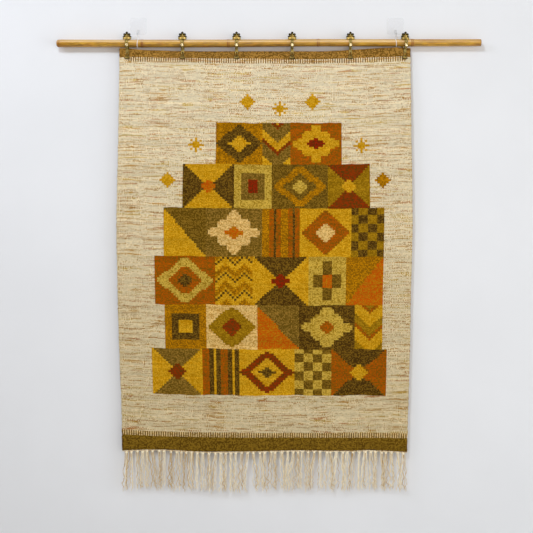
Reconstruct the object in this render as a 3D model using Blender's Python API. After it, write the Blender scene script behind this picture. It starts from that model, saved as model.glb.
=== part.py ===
"""Woven wall hanging with a knotted fringe. Brass clips hold it on a cane rod, hung by thread from hooks.

The wall is the plane y = 0, the front faces -y and the rod's axis is within 2 mm of z = 0. Metres.
"""

import math
from collections import namedtuple

import bmesh
import bpy
from mathutils import Vector

CLEARANCE = 0.0003

# Cane rod
ROD_LENGTH = 1.316
ROD_LEFT_RADIUS = 0.0120
ROD_RIGHT_RADIUS = 0.0110
ROD_OFFSET = 0.022
ROD_STEPS = 20
JOINT_RISE = 0.0006
JOINT_HALF_WIDTH = 0.0045

# The cane's axis is not quite straight: its ends and, between them, its joints
Level = namedtuple("Level", "x z")
CANE_LINE = (
    Level(-0.6580, -0.0004),
    Level(-0.3920, -0.0007),
    Level(-0.1250, -0.0001),
    Level(0.1530, 0.0017),
    Level(0.4445, 0.0014),
    Level(0.6580, 0.0020),
)

# Cloth: a flat-woven sheet whose top is turned back once
CLOTH_THICKNESS = 0.0025
HEM_LAYER_GAP = 0.0008
HEM_RADIUS = (CLOTH_THICKNESS + HEM_LAYER_GAP) / 2
HEM_HALF_DEPTH = HEM_RADIUS + CLOTH_THICKNESS / 2
HEM_BOTTOM = -0.053
HEM_ARC_STEPS = 5
HEM_FRONT_ROWS = (0.30, 0.65, 1.0)
BODY_ROWS = 14
BAY_COLUMNS = 3

Side = namedtuple("Side", "z left right")
SIDES = (
    Side(-0.010, -0.4630, 0.4405),
    Side(-0.270, -0.4660, 0.4420),
    Side(-0.550, -0.4720, 0.4460),
    Side(-0.770, -0.4684, 0.4408),
    Side(-0.950, -0.4635, 0.4377),
    Side(-1.140, -0.4563, 0.4325),
    Side(-1.270, -0.4540, 0.4285),
)
TOP_EDGE = (
    Level(-0.463, -0.0138),
    Level(-0.430, -0.0165),
    Level(-0.383, -0.0211),
    Level(-0.337, -0.0226),
    Level(-0.244, -0.0242),
    Level(0.174, -0.0240),
    Level(0.268, -0.0195),
    Level(0.360, -0.0145),
    Level(0.440, -0.0134),
)
BOTTOM_EDGE = (
    Level(-0.455, -1.2620),
    Level(-0.337, -1.2605),
    Level(-0.213, -1.2657),
    Level(-0.027, -1.2642),
    Level(0.097, -1.2626),
    Level(0.252, -1.2642),
    Level(0.314, -1.2626),
    Level(0.429, -1.2673),
)

# Clips, with how far each is turned about the vertical
Clip = namedtuple("Clip", "x turn")
CLIPS = (
    Clip(-0.4380, -5.0),
    Clip(-0.2665, -4.0),
    Clip(-0.0995, 0.0),
    Clip(0.0725, 0.0),
    Clip(0.2530, -1.5),
    Clip(0.4205, 18.0),
)
CLIP_FLAT = 0.016

# How far the cloth stands out of its plane, between clips and lower down. Towards the room is negative
BAY_BOWS = (-0.0035, 0.0022, -0.0018, 0.0024, -0.0040)
BAY_FADE = 0.16
Wave = namedtuple("Wave", "width shift depth")
WAVES = (
    Wave(0.62, 0.10, 0.0034),
    Wave(0.34, -0.06, 0.0020),
    Wave(0.205, 0.03, 0.0010),
)
WAVES_START = -0.10
WAVES_FULL = -1.00

# Jaws and hinge of a clip
JAW_Y = HEM_HALF_DEPTH + CLEARANCE
BARREL_RADIUS = 0.0026
BARREL_HALF_LENGTH = 0.0115
PIN_RADIUS = 0.0016
COIL_HALF_LENGTH = 0.0085
BARREL_STEPS = 10
HINGE_Y = BARREL_RADIUS + CLEARANCE

# Sections of a leg from the top down: the middle of each in the y-z plane, and its size
Section = namedtuple("Section", "y z half_width half_thickness")
CAST = 0.0012
SPRUNG = 0.0009
FRONT_LEG = (
    Section(-HINGE_Y - CAST, 0.0205, 0.0050, CAST),
    Section(-HINGE_Y - CAST, 0.0150, 0.0050, CAST),
    Section(-0.0104, 0.0118, 0.0046, CAST),
    Section(-0.0142, 0.0062, 0.0045, CAST),
    Section(-0.0155, 0.0000, 0.0047, CAST),
    Section(-0.0138, -0.0078, 0.0046, CAST),
    Section(-0.0092, -0.0150, 0.0044, CAST),
    Section(-JAW_Y - 0.0024, -0.0205, 0.0044, CAST),
    Section(-JAW_Y - CAST, -0.0270, 0.0046, CAST),
    Section(-JAW_Y - CAST, -0.0420, 0.0040, CAST),
)
BACK_LEG = (
    Section(0.0076, 0.0290, 0.0046, SPRUNG),
    Section(HINGE_Y + SPRUNG, 0.0195, 0.0050, SPRUNG),
    Section(HINGE_Y + SPRUNG, 0.0150, 0.0050, SPRUNG),
    Section(0.0108, 0.0112, 0.0038, SPRUNG),
    Section(0.0152, 0.0000, 0.0038, SPRUNG),
    Section(0.0104, -0.0128, 0.0038, SPRUNG),
    Section(JAW_Y + 0.0020, -0.0205, 0.0044, SPRUNG),
    Section(JAW_Y + SPRUNG, -0.0270, 0.0054, SPRUNG),
    Section(JAW_Y + SPRUNG, -0.0500, 0.0090, SPRUNG),
)
Place = namedtuple("Place", "y z")
BOSS = Place(-0.0148, -0.0072)
BOSS_RADIUS = 0.0047
BOSS_DEPTH = 0.62
COLLAR = Place(-0.0075, 0.0152)
COLLAR_RADIUS = 0.0036
COLLAR_DEPTH = 0.55
COLLAR_HALF_LENGTH = 0.0124
COLLAR_SIDES = 6
COLLAR_SWELL = ((-1.0, 0.5), (-0.75, 0.85), (-0.42, 1.1), (0.0, 0.8), (0.42, 1.1), (0.75, 0.85), (1.0, 0.5))

# Fans of petals: the crown stands on the collar, the foot spreads over the hem
Fan = namedtuple("Fan", "petals steps spread middle side notch y z lean")
CROWN = Fan(5, 6, 96.0, 0.0192, 0.0118, 0.34, -0.0046, 0.0162, 16.0)
FOOT = Fan(5, 2, 24.0, 0.0245, 0.0235, 0.10, -JAW_Y - 0.0008, -0.0260, 0.0)
PETAL_RIDGE = 0.0010
RIDGE_SHARE = 0.64
PLATE_HALF_THICKNESS = 0.0008

# Fringe: the warp ends, knotted five at a time and shown as three locks a knot
KNOTS = 51
LOCKS = 3
KNOT_HALF_WIDTH = 0.0044
KNOT_DROP = 0.0075
KNOT_HALF_DEPTH = 0.0021
STRIP_DROP = 0.0026
STRIP_HALF_DEPTH = 0.0010
STRIP_INSET = 0.0010
LOCK_SPREAD = 0.0054
LOCK_OPENING = 1.6
LOCK_TAPER = 0.7
LOCK_HALF_WIDTH = 0.0012
FRINGE_DROP = 0.117
FRINGE_UNEVEN = 0.006
LOCK_SWAY = 0.0008
KNOT_SWAY = 0.0014
LOCK_LEAN = 0.0030
LOCK_RINGS = (0.14, 0.55, 1.0)

# Wall hooks and thread loops
HANG_X = (-0.407, 0.395)
PAD_SIZE = 0.0525
PAD_BOTTOM = 0.0315
PAD_THICKNESS = 0.0020
PAD_CORNER = 0.0070
THREAD_RADIUS = 0.0010
THREAD_STEPS = 6
THREAD_ROUNDING = 1
THREAD_LEAN = 0.8
HOOK_HALF_WIDTH = 0.0026
HOOK_HALF_THICKNESS = 0.0013
HOOK_SEAT = 0.0215
HOOK_ARM = (
    Section(-0.0017, 0.0460, 0.0050, 0.0010),
    Section(-0.0046, 0.0400, 0.0046, HOOK_HALF_THICKNESS),
    Section(-0.0110, 0.0290, 0.0034, HOOK_HALF_THICKNESS),
    Section(-0.0150, 0.0236, HOOK_HALF_WIDTH, HOOK_HALF_THICKNESS),
    Section(-ROD_OFFSET + 0.0026, HOOK_SEAT, HOOK_HALF_WIDTH, HOOK_HALF_THICKNESS),
    Section(-ROD_OFFSET - 0.0022, HOOK_SEAT, HOOK_HALF_WIDTH, HOOK_HALF_THICKNESS),
    Section(-0.0280, 0.0245, HOOK_HALF_WIDTH, HOOK_HALF_THICKNESS),
    Section(-0.0292, 0.0310, 0.0022, 0.0011),
)


def smooth(rows, at):
    """The value at one place on a smooth curve through (place, value) rows in rising order."""
    if at <= rows[0][0]:
        return rows[0][1]
    if at >= rows[-1][0]:
        return rows[-1][1]
    i = max(k for k in range(len(rows) - 1) if rows[k][0] <= at)

    def slope(k):
        low, high = max(k - 1, 0), min(k + 1, len(rows) - 1)
        return (rows[high][1] - rows[low][1]) / (rows[high][0] - rows[low][0])

    width = rows[i + 1][0] - rows[i][0]
    t = (at - rows[i][0]) / width
    return (
        (2 * t**3 - 3 * t**2 + 1) * rows[i][1]
        + (t**3 - 2 * t**2 + t) * width * slope(i)
        + (3 * t**2 - 2 * t**3) * rows[i + 1][1]
        + (t**3 - t**2) * width * slope(i + 1)
    )


def ease(t):
    """A soft step from 0 to 1."""
    t = min(max(t, 0.0), 1.0)
    return t * t * (3 - 2 * t)


def unevenness(i, seed):
    """A repeatable number from -1 to 1 for the i-th lock or knot."""
    return math.sin(12.9898 * i + 78.233 * seed) * math.cos(4.1414 * i - 3.7 * seed)


def rod_radius(x):
    """The cane's radius without its joints: it thins from left to right."""
    share = (x + ROD_LENGTH / 2) / ROD_LENGTH
    return ROD_LEFT_RADIUS + (ROD_RIGHT_RADIUS - ROD_LEFT_RADIUS) * share


def rod_rise(x):
    """The height of the cane's axis."""
    return smooth(CANE_LINE, x)


def new_object(name, mesh, material):
    obj = bpy.data.objects.new(name, mesh)
    bpy.context.scene.collection.objects.link(obj)
    obj.data.materials.append(material)
    return obj


def material(name, colour, roughness, metallic=0.0, alpha=1.0):
    made = bpy.data.materials.new(name)
    made.use_nodes = True
    shader = made.node_tree.nodes["Principled BSDF"]
    shader.inputs["Base Color"].default_value = (*colour, 1.0)
    shader.inputs["Roughness"].default_value = roughness
    shader.inputs["Metallic"].default_value = metallic
    shader.inputs["Alpha"].default_value = alpha
    return made


def mesh_of(bm, name, smooth_angle=None):
    bmesh.ops.recalc_face_normals(bm, faces=bm.faces)
    mesh = bpy.data.meshes.new(name)
    bm.to_mesh(mesh)
    bm.free()
    if smooth_angle:
        mesh.shade_smooth()
        mesh.set_sharp_from_angle(angle=math.radians(smooth_angle))
    return mesh


def grid_faces(bm, rings, closed_ring):
    """Quads between neighbouring rings of vertices."""
    for first, second in zip(rings, rings[1:]):
        count = len(first)
        for k in range(count if closed_ring else count - 1):
            after = (k + 1) % count
            bm.faces.new((first[k], first[after], second[after], second[k]))


def rod_profile():
    """(along, radius) from the right end, which is cut square, to the rounded left end."""
    half = ROD_LENGTH / 2
    points = [(half, ROD_RIGHT_RADIUS - 0.0012), (half - 0.0012, ROD_RIGHT_RADIUS)]
    for joint, _ in reversed(CANE_LINE[1:-1]):
        radius = rod_radius(joint)
        points += [
            (joint + JOINT_HALF_WIDTH, radius),
            (joint + JOINT_HALF_WIDTH / 3, radius + JOINT_RISE),
            (joint, radius + JOINT_RISE / 3),
            (joint - JOINT_HALF_WIDTH / 3, radius + JOINT_RISE),
            (joint - JOINT_HALF_WIDTH, radius),
        ]
    points += [
        (-half + 0.0070, ROD_LEFT_RADIUS),
        (-half + 0.0025, ROD_LEFT_RADIUS - 0.0010),
        (-half, ROD_LEFT_RADIUS - 0.0038),
    ]
    return points


def turned(name, profile, steps, finish):
    """A solid turned about its own z axis, from (height, radius) points that run top to bottom."""
    bm = bmesh.new()
    points = [bm.verts.new((radius, 0.0, height)) for height, radius in profile]
    for first, second in zip(points, points[1:]):
        bm.edges.new((first, second))
    mesh = bpy.data.meshes.new(name)
    bm.to_mesh(mesh)
    bm.free()
    obj = new_object(name, mesh, finish)
    screw = obj.modifiers.new("Turn", "SCREW")
    screw.steps = steps
    screw.render_steps = steps
    screw.use_merge_vertices = True
    screw.merge_threshold = 0.00001
    screw.use_smooth_shade = True
    return obj


def make_rod(finish):
    bm = bmesh.new()
    rings = []
    for along, radius in rod_profile():
        middle = Vector((along, 0.0, rod_rise(along)))
        ring = []
        for k in range(ROD_STEPS):
            turn = 2 * math.pi * k / ROD_STEPS
            ring.append(bm.verts.new(middle + Vector((0.0, math.cos(turn), math.sin(turn))) * radius))
        rings.append(ring)
    grid_faces(bm, rings, closed_ring=True)
    bm.faces.new(rings[0])
    bm.faces.new(rings[-1])
    rod = new_object("rod", mesh_of(bm, "rod", smooth_angle=40), finish)
    rod.location = (0.0, -ROD_OFFSET, 0.0)


def stand_out(x, z):
    """How far the cloth's middle surface stands from the hem's plane at a place of its face."""
    near_top = 1 - ease((HEM_BOTTOM - z) / BAY_FADE)
    bow = 0.0
    for clip, after, depth in zip(CLIPS, CLIPS[1:], BAY_BOWS):
        share = (x - clip.x - CLIP_FLAT) / (after.x - clip.x - 2 * CLIP_FLAT)
        if 0 < share < 1:
            bow = depth * math.sin(math.pi * share) ** 2
    twist = 0.0
    for clip in CLIPS:
        away = x - clip.x
        hold = 1 - ease((abs(away) - CLIP_FLAT) / (2 * CLIP_FLAT))
        twist += math.tan(math.radians(clip.turn)) * away * hold
    wave = sum(w.depth * math.sin(2 * math.pi * (x - w.shift) / w.width) for w in WAVES)
    return (bow + twist) * near_top + wave * ease((WAVES_START - z) / (WAVES_START - WAVES_FULL))


def cloth_columns():
    """Shares of the cloth's width: its two sides, the flats at the clips and points in each bay."""
    left, right = SIDES[0].left, SIDES[0].right
    places = [left]
    for clip, after in zip(CLIPS, CLIPS[1:] + (None,)):
        places += [clip.x - CLIP_FLAT, clip.x + CLIP_FLAT]
        if after:
            start, end = clip.x + CLIP_FLAT, after.x - CLIP_FLAT
            places += [start + (end - start) * (k + 1) / (BAY_COLUMNS + 1) for k in range(BAY_COLUMNS)]
    places = [x for x in places if left <= x < right - 0.002] + [right]
    return [(x - left) / (right - left) for x in places]


def side_x(share, z):
    rows = sorted(SIDES)
    left = smooth([(row.z, row.left) for row in rows], z)
    right = smooth([(row.z, row.right) for row in rows], z)
    return left + (right - left) * share


def cloth_path(share):
    """Points of one warp line, from the turned-back edge over the fold and down to the fringe."""
    x = side_x(share, 0.0)
    top = smooth(TOP_EDGE, x) - HEM_HALF_DEPTH
    bottom = smooth(BOTTOM_EDGE, side_x(share, SIDES[-1].z))
    y = -ROD_OFFSET
    points = [Vector((x, y + HEM_RADIUS + stand_out(x, HEM_BOTTOM), HEM_BOTTOM))]
    for k in range(HEM_ARC_STEPS + 1):
        turn = math.pi * k / HEM_ARC_STEPS
        z = top + HEM_RADIUS * math.sin(turn)
        points.append(Vector((x, y + HEM_RADIUS * math.cos(turn) + stand_out(x, z), z)))
    for part in HEM_FRONT_ROWS:
        z = top + (HEM_BOTTOM - top) * part
        points.append(Vector((x, y - HEM_RADIUS + stand_out(x, z), z)))
    for k in range(BODY_ROWS):
        z = HEM_BOTTOM + (bottom - HEM_BOTTOM) * (k + 1) / BODY_ROWS
        x = side_x(share, z)
        points.append(Vector((x, y - HEM_RADIUS + stand_out(x, z), z)))
    return points


def make_cloth(finish):
    bm = bmesh.new()
    paths = [cloth_path(share) for share in cloth_columns()]
    rings = [[bm.verts.new(point) for point in path] for path in paths]
    grid_faces(bm, rings, closed_ring=False)
    cloth = new_object("cloth", mesh_of(bm, "cloth", smooth_angle=60), finish)
    solidify = cloth.modifiers.new("Thickness", "SOLIDIFY")
    solidify.thickness = CLOTH_THICKNESS
    solidify.offset = 0.0
    solidify.use_even_offset = True
    return [path[-1] for path in paths]


def along(points, x):
    """The point at x on the straight pieces between the cloth's bottom points."""
    for first, second in zip(points, points[1:]):
        if x <= second.x:
            return first.lerp(second, (x - first.x) / (second.x - first.x))
    return points[-1].copy()


def fringe_stations(edge):
    """(place, knot) rows along the strip: the sides of each knot's locks, with None between two knots."""
    left, right = edge[0].x + STRIP_INSET, edge[-1].x - STRIP_INSET
    pitch = (right - left) / KNOTS
    stations = []
    for knot in range(KNOTS):
        stations.append((left + pitch * knot, None))
        middle = left + pitch * (knot + 0.5)
        for k in range(LOCKS + 1):
            stations.append((middle + KNOT_HALF_WIDTH * (2 * k / LOCKS - 1), knot))
    return stations + [(right, None)]


def lock_rings(bm, root, middle, index, knot):
    """Rings of a hanging lock below the four corners of its root. It turns square and leans its own way."""
    start = sum((corner.co for corner in root), Vector()) / len(root)
    number = knot * LOCKS + index
    drop = FRINGE_DROP - KNOT_DROP + FRINGE_UNEVEN * unevenness(number, 1.0)
    end_x = middle + (index - (LOCKS - 1) / 2) * LOCK_SPREAD
    end_x += LOCK_SWAY * unevenness(number, 2.0) + KNOT_SWAY * unevenness(knot, 4.0)
    lean = LOCK_LEAN * unevenness(knot, 3.0)
    rings = [root]
    for share in LOCK_RINGS:
        x = start.x + (end_x - start.x) * ease(share * LOCK_OPENING)
        y = start.y + lean * share**2
        z = start.z - drop * share
        half = LOCK_HALF_WIDTH if share < 1 else LOCK_HALF_WIDTH * LOCK_TAPER
        corners = ((-half, -half), (half, -half), (half, half), (-half, half))
        rings.append([bm.verts.new((x + dx, y + dy, z)) for dx, dy in corners])
    return rings


def make_fringe(edge, finish):
    """One body: a narrow strip under the cloth's edge, a lump at each knot, and the locks below it."""
    bm = bmesh.new()
    stations = fringe_stations(edge)
    strip = []
    for x, knot in stations:
        above = along(edge, x)
        top = above.z - CLEARANCE
        deep, drop = (STRIP_HALF_DEPTH, STRIP_DROP) if knot is None else (KNOT_HALF_DEPTH, KNOT_DROP)
        strip.append([
            bm.verts.new((x, above.y - STRIP_HALF_DEPTH, top)),
            bm.verts.new((x, above.y - deep, top - drop)),
            bm.verts.new((x, above.y + deep, top - drop)),
            bm.verts.new((x, above.y + STRIP_HALF_DEPTH, top)),
        ])
    bm.faces.new(strip[0])
    bm.faces.new(strip[-1])
    for k, (first, second) in enumerate(zip(strip, strip[1:])):
        for a, b in ((0, 1), (2, 3), (3, 0)):
            bm.faces.new((first[a], first[b], second[b], second[a]))
        root = [first[1], second[1], second[2], first[2]]
        knot = stations[k][1]
        if knot is None or stations[k + 1][1] is None:
            bm.faces.new(root)
            continue
        index = k - stations.index(next(row for row in stations if row[1] == knot))
        left, right = stations[k - index][0], stations[k - index + LOCKS][0]
        rings = lock_rings(bm, root, (left + right) / 2, index, knot)
        grid_faces(bm, rings, closed_ring=True)
        bm.faces.new(rings[-1])
    new_object("fringe", mesh_of(bm, "fringe"), finish)


def bar(sections):
    """A bent bar of changing width, as a mesh: sections lie across a path in the y-z plane."""
    bm = bmesh.new()
    rings = []
    for i, section in enumerate(sections):
        before, after = sections[max(i - 1, 0)], sections[min(i + 1, len(sections) - 1)]
        run = Vector((0.0, after.y - before.y, after.z - before.z)).normalized()
        out = Vector((0.0, -run.z, run.y))
        middle = Vector((0.0, section.y, section.z))
        w, t = section.half_width, section.half_thickness
        corners = ((w, t * 0.3), (w * 0.7, t), (-w * 0.7, t), (-w, t * 0.3))
        corners += ((-w, -t), (w, -t))
        rings.append([bm.verts.new(middle + Vector((a, 0.0, 0.0)) - out * b) for a, b in corners])
    grid_faces(bm, rings, closed_ring=True)
    bm.faces.new(rings[0])
    bm.faces.new(rings[-1])
    return bm


def fan_mesh(fan, name):
    """Ridged petals round the origin in the x-z plane, spread about +z, with their relief towards -y."""
    bm = bmesh.new()
    segments = fan.petals * fan.steps
    rim_front, ridge, rim_back = [], [], []
    for k in range(segments + 1):
        share = 2 * k / segments - 1
        angle = math.radians(fan.spread) * share
        lobe = 1 - abs(2 * (k / fan.steps % 1.0) - 1)
        reach = fan.middle + (fan.side - fan.middle) * abs(share)
        reach *= 1 - fan.notch * (1 - lobe) ** 2
        out = Vector((math.sin(angle), 0.0, math.cos(angle))) * reach
        front = Vector((0.0, -PLATE_HALF_THICKNESS, 0.0))
        rim_front.append(bm.verts.new(out + front))
        ridge.append(bm.verts.new(out * RIDGE_SHARE + front - Vector((0.0, PETAL_RIDGE * lobe, 0.0))))
        rim_back.append(bm.verts.new(out - front))
    hub_front = bm.verts.new((0.0, -PLATE_HALF_THICKNESS - PETAL_RIDGE / 2, 0.0))
    hub_back = bm.verts.new((0.0, PLATE_HALF_THICKNESS, 0.0))
    grid_faces(bm, [ridge, rim_front, rim_back], closed_ring=False)
    for k in range(segments):
        bm.faces.new((hub_front, ridge[k], ridge[k + 1]))
        bm.faces.new((hub_back, rim_back[k + 1], rim_back[k]))
    bm.faces.new((hub_front, hub_back, rim_back[0], rim_front[0], ridge[0]))
    bm.faces.new((hub_back, hub_front, ridge[-1], rim_front[-1], rim_back[-1]))
    return mesh_of(bm, name)


def helper(name, mesh, place=(0.0, 0.0, 0.0), turn=(0.0, 0.0, 0.0)):
    """A shape that a Boolean joins to another one. It isn't a piece by itself."""
    obj = bpy.data.objects.new(name, mesh)
    bpy.context.scene.collection.objects.link(obj)
    obj.location = place
    obj.rotation_euler = turn
    obj.hide_render = True
    obj.display_type = "WIRE"
    return obj


def join(obj, others):
    for other in others:
        union = obj.modifiers.new("Join " + other.name, "BOOLEAN")
        union.operation = "UNION"
        union.object = other


def collar_mesh():
    """The rolled band under the crown: a bar along x that swells in its middle and near its ends."""
    bm = bmesh.new()
    rings = []
    for share, swell in COLLAR_SWELL:
        ring = []
        for k in range(COLLAR_SIDES):
            turn = 2 * math.pi * k / COLLAR_SIDES
            y = COLLAR_RADIUS * COLLAR_DEPTH * swell * math.cos(turn)
            z = COLLAR_RADIUS * swell * math.sin(turn)
            ring.append(bm.verts.new((share * COLLAR_HALF_LENGTH, y, z)))
        rings.append(ring)
    grid_faces(bm, rings, closed_ring=True)
    bm.faces.new(rings[0])
    bm.faces.new(rings[-1])
    return mesh_of(bm, "collar")


def boss_mesh():
    bm = bmesh.new()
    bmesh.ops.create_uvsphere(bm, u_segments=8, v_segments=5, radius=BOSS_RADIUS)
    bmesh.ops.scale(bm, vec=(1.0, BOSS_DEPTH, 1.0), verts=bm.verts)
    return mesh_of(bm, "boss")


def front_leg_mesh():
    """The cast front of a clip: crown, collar, bowed leg with its boss, and scalloped foot, in one mesh."""
    leg = bpy.data.objects.new("front_leg_source", mesh_of(bar(FRONT_LEG), "front_leg"))
    bpy.context.scene.collection.objects.link(leg)
    lean, flip = (math.radians(CROWN.lean), 0.0, 0.0), (0.0, math.radians(180), 0.0)
    parts = [
        helper("boss", boss_mesh(), (0.0, BOSS.y, BOSS.z)),
        helper("crown", fan_mesh(CROWN, "crown"), (0.0, CROWN.y, CROWN.z), lean),
        helper("collar", collar_mesh(), (0.0, COLLAR.y, COLLAR.z)),
        helper("foot", fan_mesh(FOOT, "foot"), (0.0, FOOT.y, FOOT.z), flip),
    ]
    join(leg, parts)
    bpy.context.view_layer.update()
    graph = bpy.context.evaluated_depsgraph_get()
    mesh = bpy.data.meshes.new_from_object(leg.evaluated_get(graph))
    for obj in [leg, *parts]:
        bpy.data.objects.remove(obj)
    mesh.shade_smooth()
    mesh.set_sharp_from_angle(angle=math.radians(40))
    return mesh


def barrel_profile():
    """(along, radius) of the spring coiled round its pin, from one end of the pin to the other."""
    half = [(BARREL_HALF_LENGTH, 0.0), (BARREL_HALF_LENGTH, PIN_RADIUS)]
    half += [(COIL_HALF_LENGTH, PIN_RADIUS), (COIL_HALF_LENGTH, BARREL_RADIUS)]
    return half + [(-height, radius) for height, radius in reversed(half)]


def make_clips(brass, spring_brass):
    front = front_leg_mesh()
    back = mesh_of(bar(BACK_LEG), "back_leg", smooth_angle=40)
    for number, clip in enumerate(CLIPS, start=1):
        base = bpy.data.objects.new(f"clip_{number}", None)
        bpy.context.scene.collection.objects.link(base)
        base.location = (clip.x, -ROD_OFFSET, 0.0)
        base.rotation_euler = (0.0, 0.0, math.radians(clip.turn))
        spring = turned(f"clip_{number}_spring", barrel_profile(), BARREL_STEPS, spring_brass)
        spring.rotation_euler = (0.0, math.radians(90), 0.0)
        spring.location = (0.0, 0.0, rod_rise(clip.x) + rod_radius(clip.x) + CLEARANCE + BARREL_RADIUS)
        pieces = [
            new_object(f"clip_{number}_front", front, brass),
            new_object(f"clip_{number}_back", back, brass),
            spring,
        ]
        for piece in pieces:
            piece.parent = base


def make_hook(name, x, finish):
    """A clear pad that sticks to the wall, with a hook standing out of its lower half."""
    bm = bmesh.new()
    bmesh.ops.create_cube(bm, size=1.0)
    bmesh.ops.scale(bm, vec=(PAD_SIZE, PAD_THICKNESS, PAD_SIZE), verts=bm.verts)
    upright = [e for e in bm.edges if abs(e.verts[0].co.y - e.verts[1].co.y) > PAD_THICKNESS / 2]
    bmesh.ops.bevel(bm, geom=upright, offset=PAD_CORNER, segments=4, profile=0.5, affect="EDGES")
    middle = Vector((0.0, -PAD_THICKNESS / 2, PAD_BOTTOM + PAD_SIZE / 2))
    bmesh.ops.translate(bm, vec=middle, verts=bm.verts)
    pad = new_object(name, mesh_of(bm, name, smooth_angle=40), finish)
    pad.location = (x, 0.0, 0.0)
    arm = helper(name + "_arm", mesh_of(bar(HOOK_ARM), name + "_arm"), (x, 0.0, 0.0))
    join(pad, [arm])


def thread_points(x):
    """A taut closed loop: across the hook's seat, down the front of the rod, under it and up behind it."""
    seat = HOOK_SEAT + HOOK_HALF_THICKNESS + CLEARANCE + THREAD_RADIUS
    beside = HOOK_HALF_WIDTH + CLEARANCE + THREAD_RADIUS
    round_rod = rod_radius(x) + CLEARANCE + THREAD_RADIUS
    rise = rod_rise(x)
    meets_rod = math.asin(round_rod / (seat - rise))
    front = [
        Vector((-beside * 0.75, 0.0, seat - 0.0004)),
        Vector((-beside, -0.0006, seat - 0.0022)),
        Vector((-beside, -0.0030, seat - 0.0062)),
    ]
    for k in range(THREAD_STEPS):
        share = k / THREAD_STEPS
        turn = meets_rod + (math.pi - meets_rod) * share
        across = -beside * THREAD_LEAN * (1 - share)
        front.append(Vector((across, -round_rod * math.sin(turn), rise + round_rod * math.cos(turn))))
    back = [Vector((-point.x, -point.y, point.z)) for point in reversed(front)]
    top, under = Vector((0.0, 0.0, seat)), Vector((0.0, 0.0, rise - round_rod))
    return [point + Vector((x, -ROD_OFFSET, 0.0)) for point in [top, *front, under, *back]]


def make_thread(name, x, finish):
    curve = bpy.data.curves.new(name, "CURVE")
    curve.dimensions = "3D"
    curve.bevel_depth = THREAD_RADIUS
    curve.bevel_resolution = THREAD_ROUNDING
    points = thread_points(x)
    spline = curve.splines.new("POLY")
    spline.points.add(len(points) - 1)
    for target, point in zip(spline.points, points):
        target.co = (*point, 1.0)
    spline.use_cyclic_u = True
    new_object(name, curve, finish)


def main():
    for obj in list(bpy.data.objects):
        bpy.data.objects.remove(obj)
    wool = material("wool", (0.58, 0.44, 0.22), 0.95)
    cotton = material("cotton", (0.80, 0.72, 0.60), 0.95)
    cane = material("cane", (0.60, 0.36, 0.11), 0.45)
    brass = material("brass", (0.62, 0.46, 0.18), 0.30, metallic=1.0)
    spring_brass = material("spring_brass", (0.55, 0.42, 0.18), 0.35, metallic=1.0)
    clear = material("clear_plastic", (0.90, 0.91, 0.92), 0.15, alpha=0.3)
    thread = material("thread", (0.82, 0.80, 0.76), 0.90)
    make_rod(cane)
    edge = make_cloth(wool)
    make_fringe(edge, cotton)
    make_clips(brass, spring_brass)
    for side, x in zip(("left", "right"), HANG_X):
        make_hook(f"hook_{side}", x, clear)
        make_thread(f"thread_{side}", x, thread)


main()
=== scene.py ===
"""Looks of a wall hanging: a woven cloth with a knotted fringe, brass clips, a cane rod, thread and hooks.

The wall is the plane y = 0, the front faces -y and the rod's axis is within 2 mm of z = 0. Metres.
"""

import math
import random
from collections import namedtuple

import bpy
import numpy as np
from mathutils import Matrix, Vector


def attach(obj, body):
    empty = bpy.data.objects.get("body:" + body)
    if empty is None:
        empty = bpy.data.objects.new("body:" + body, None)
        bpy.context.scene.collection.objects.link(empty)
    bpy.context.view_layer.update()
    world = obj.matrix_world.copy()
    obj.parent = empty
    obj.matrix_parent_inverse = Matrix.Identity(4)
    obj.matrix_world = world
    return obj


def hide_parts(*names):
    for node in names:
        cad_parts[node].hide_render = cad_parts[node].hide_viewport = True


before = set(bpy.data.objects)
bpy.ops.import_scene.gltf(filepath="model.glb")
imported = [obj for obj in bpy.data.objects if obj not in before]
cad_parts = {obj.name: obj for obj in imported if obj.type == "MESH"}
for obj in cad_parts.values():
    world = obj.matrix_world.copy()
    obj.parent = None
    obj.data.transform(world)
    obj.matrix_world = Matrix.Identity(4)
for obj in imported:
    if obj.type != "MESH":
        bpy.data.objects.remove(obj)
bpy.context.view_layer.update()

# The photograph's view
VIEW_X = -0.0068
VIEW_Z = -0.6920
VIEW_WIDTH = 1.652
VIEW_DISTANCE = 3.2
SENSOR = 36.0

# Cane rod
ROD_LENGTH = 1.316
ROD_LEFT_RADIUS = 0.0120
ROD_RIGHT_RADIUS = 0.0110
ROD_OFFSET = 0.022

# The cane's axis is not quite straight. (x, z) of its ends and, between them, its joints
CANE_LINE = (
    (-0.6580, -0.0004), (-0.3920, -0.0007), (-0.1250, -0.0001), (0.1530, 0.0017),
    (0.4445, 0.0014), (0.6580, 0.0020),
)

# Cloth: a flat-woven sheet whose top is turned back once
CLEARANCE = 0.0003
CLOTH_THICKNESS = 0.0025
HEM_LAYER_GAP = 0.0008
HEM_RADIUS = (CLOTH_THICKNESS + HEM_LAYER_GAP) / 2
HEM_HALF_DEPTH = HEM_RADIUS + CLOTH_THICKNESS / 2
HEM_BOTTOM = -0.053

Side = namedtuple("Side", "z left right")
SIDES = [Side(*row) for row in (
    (-0.010, -0.4630, 0.4405),
    (-0.270, -0.4660, 0.4420),
    (-0.550, -0.4720, 0.4460),
    (-0.770, -0.4684, 0.4408),
    (-0.950, -0.4635, 0.4377),
    (-1.140, -0.4563, 0.4325),
    (-1.270, -0.4540, 0.4285),
)]

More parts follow.
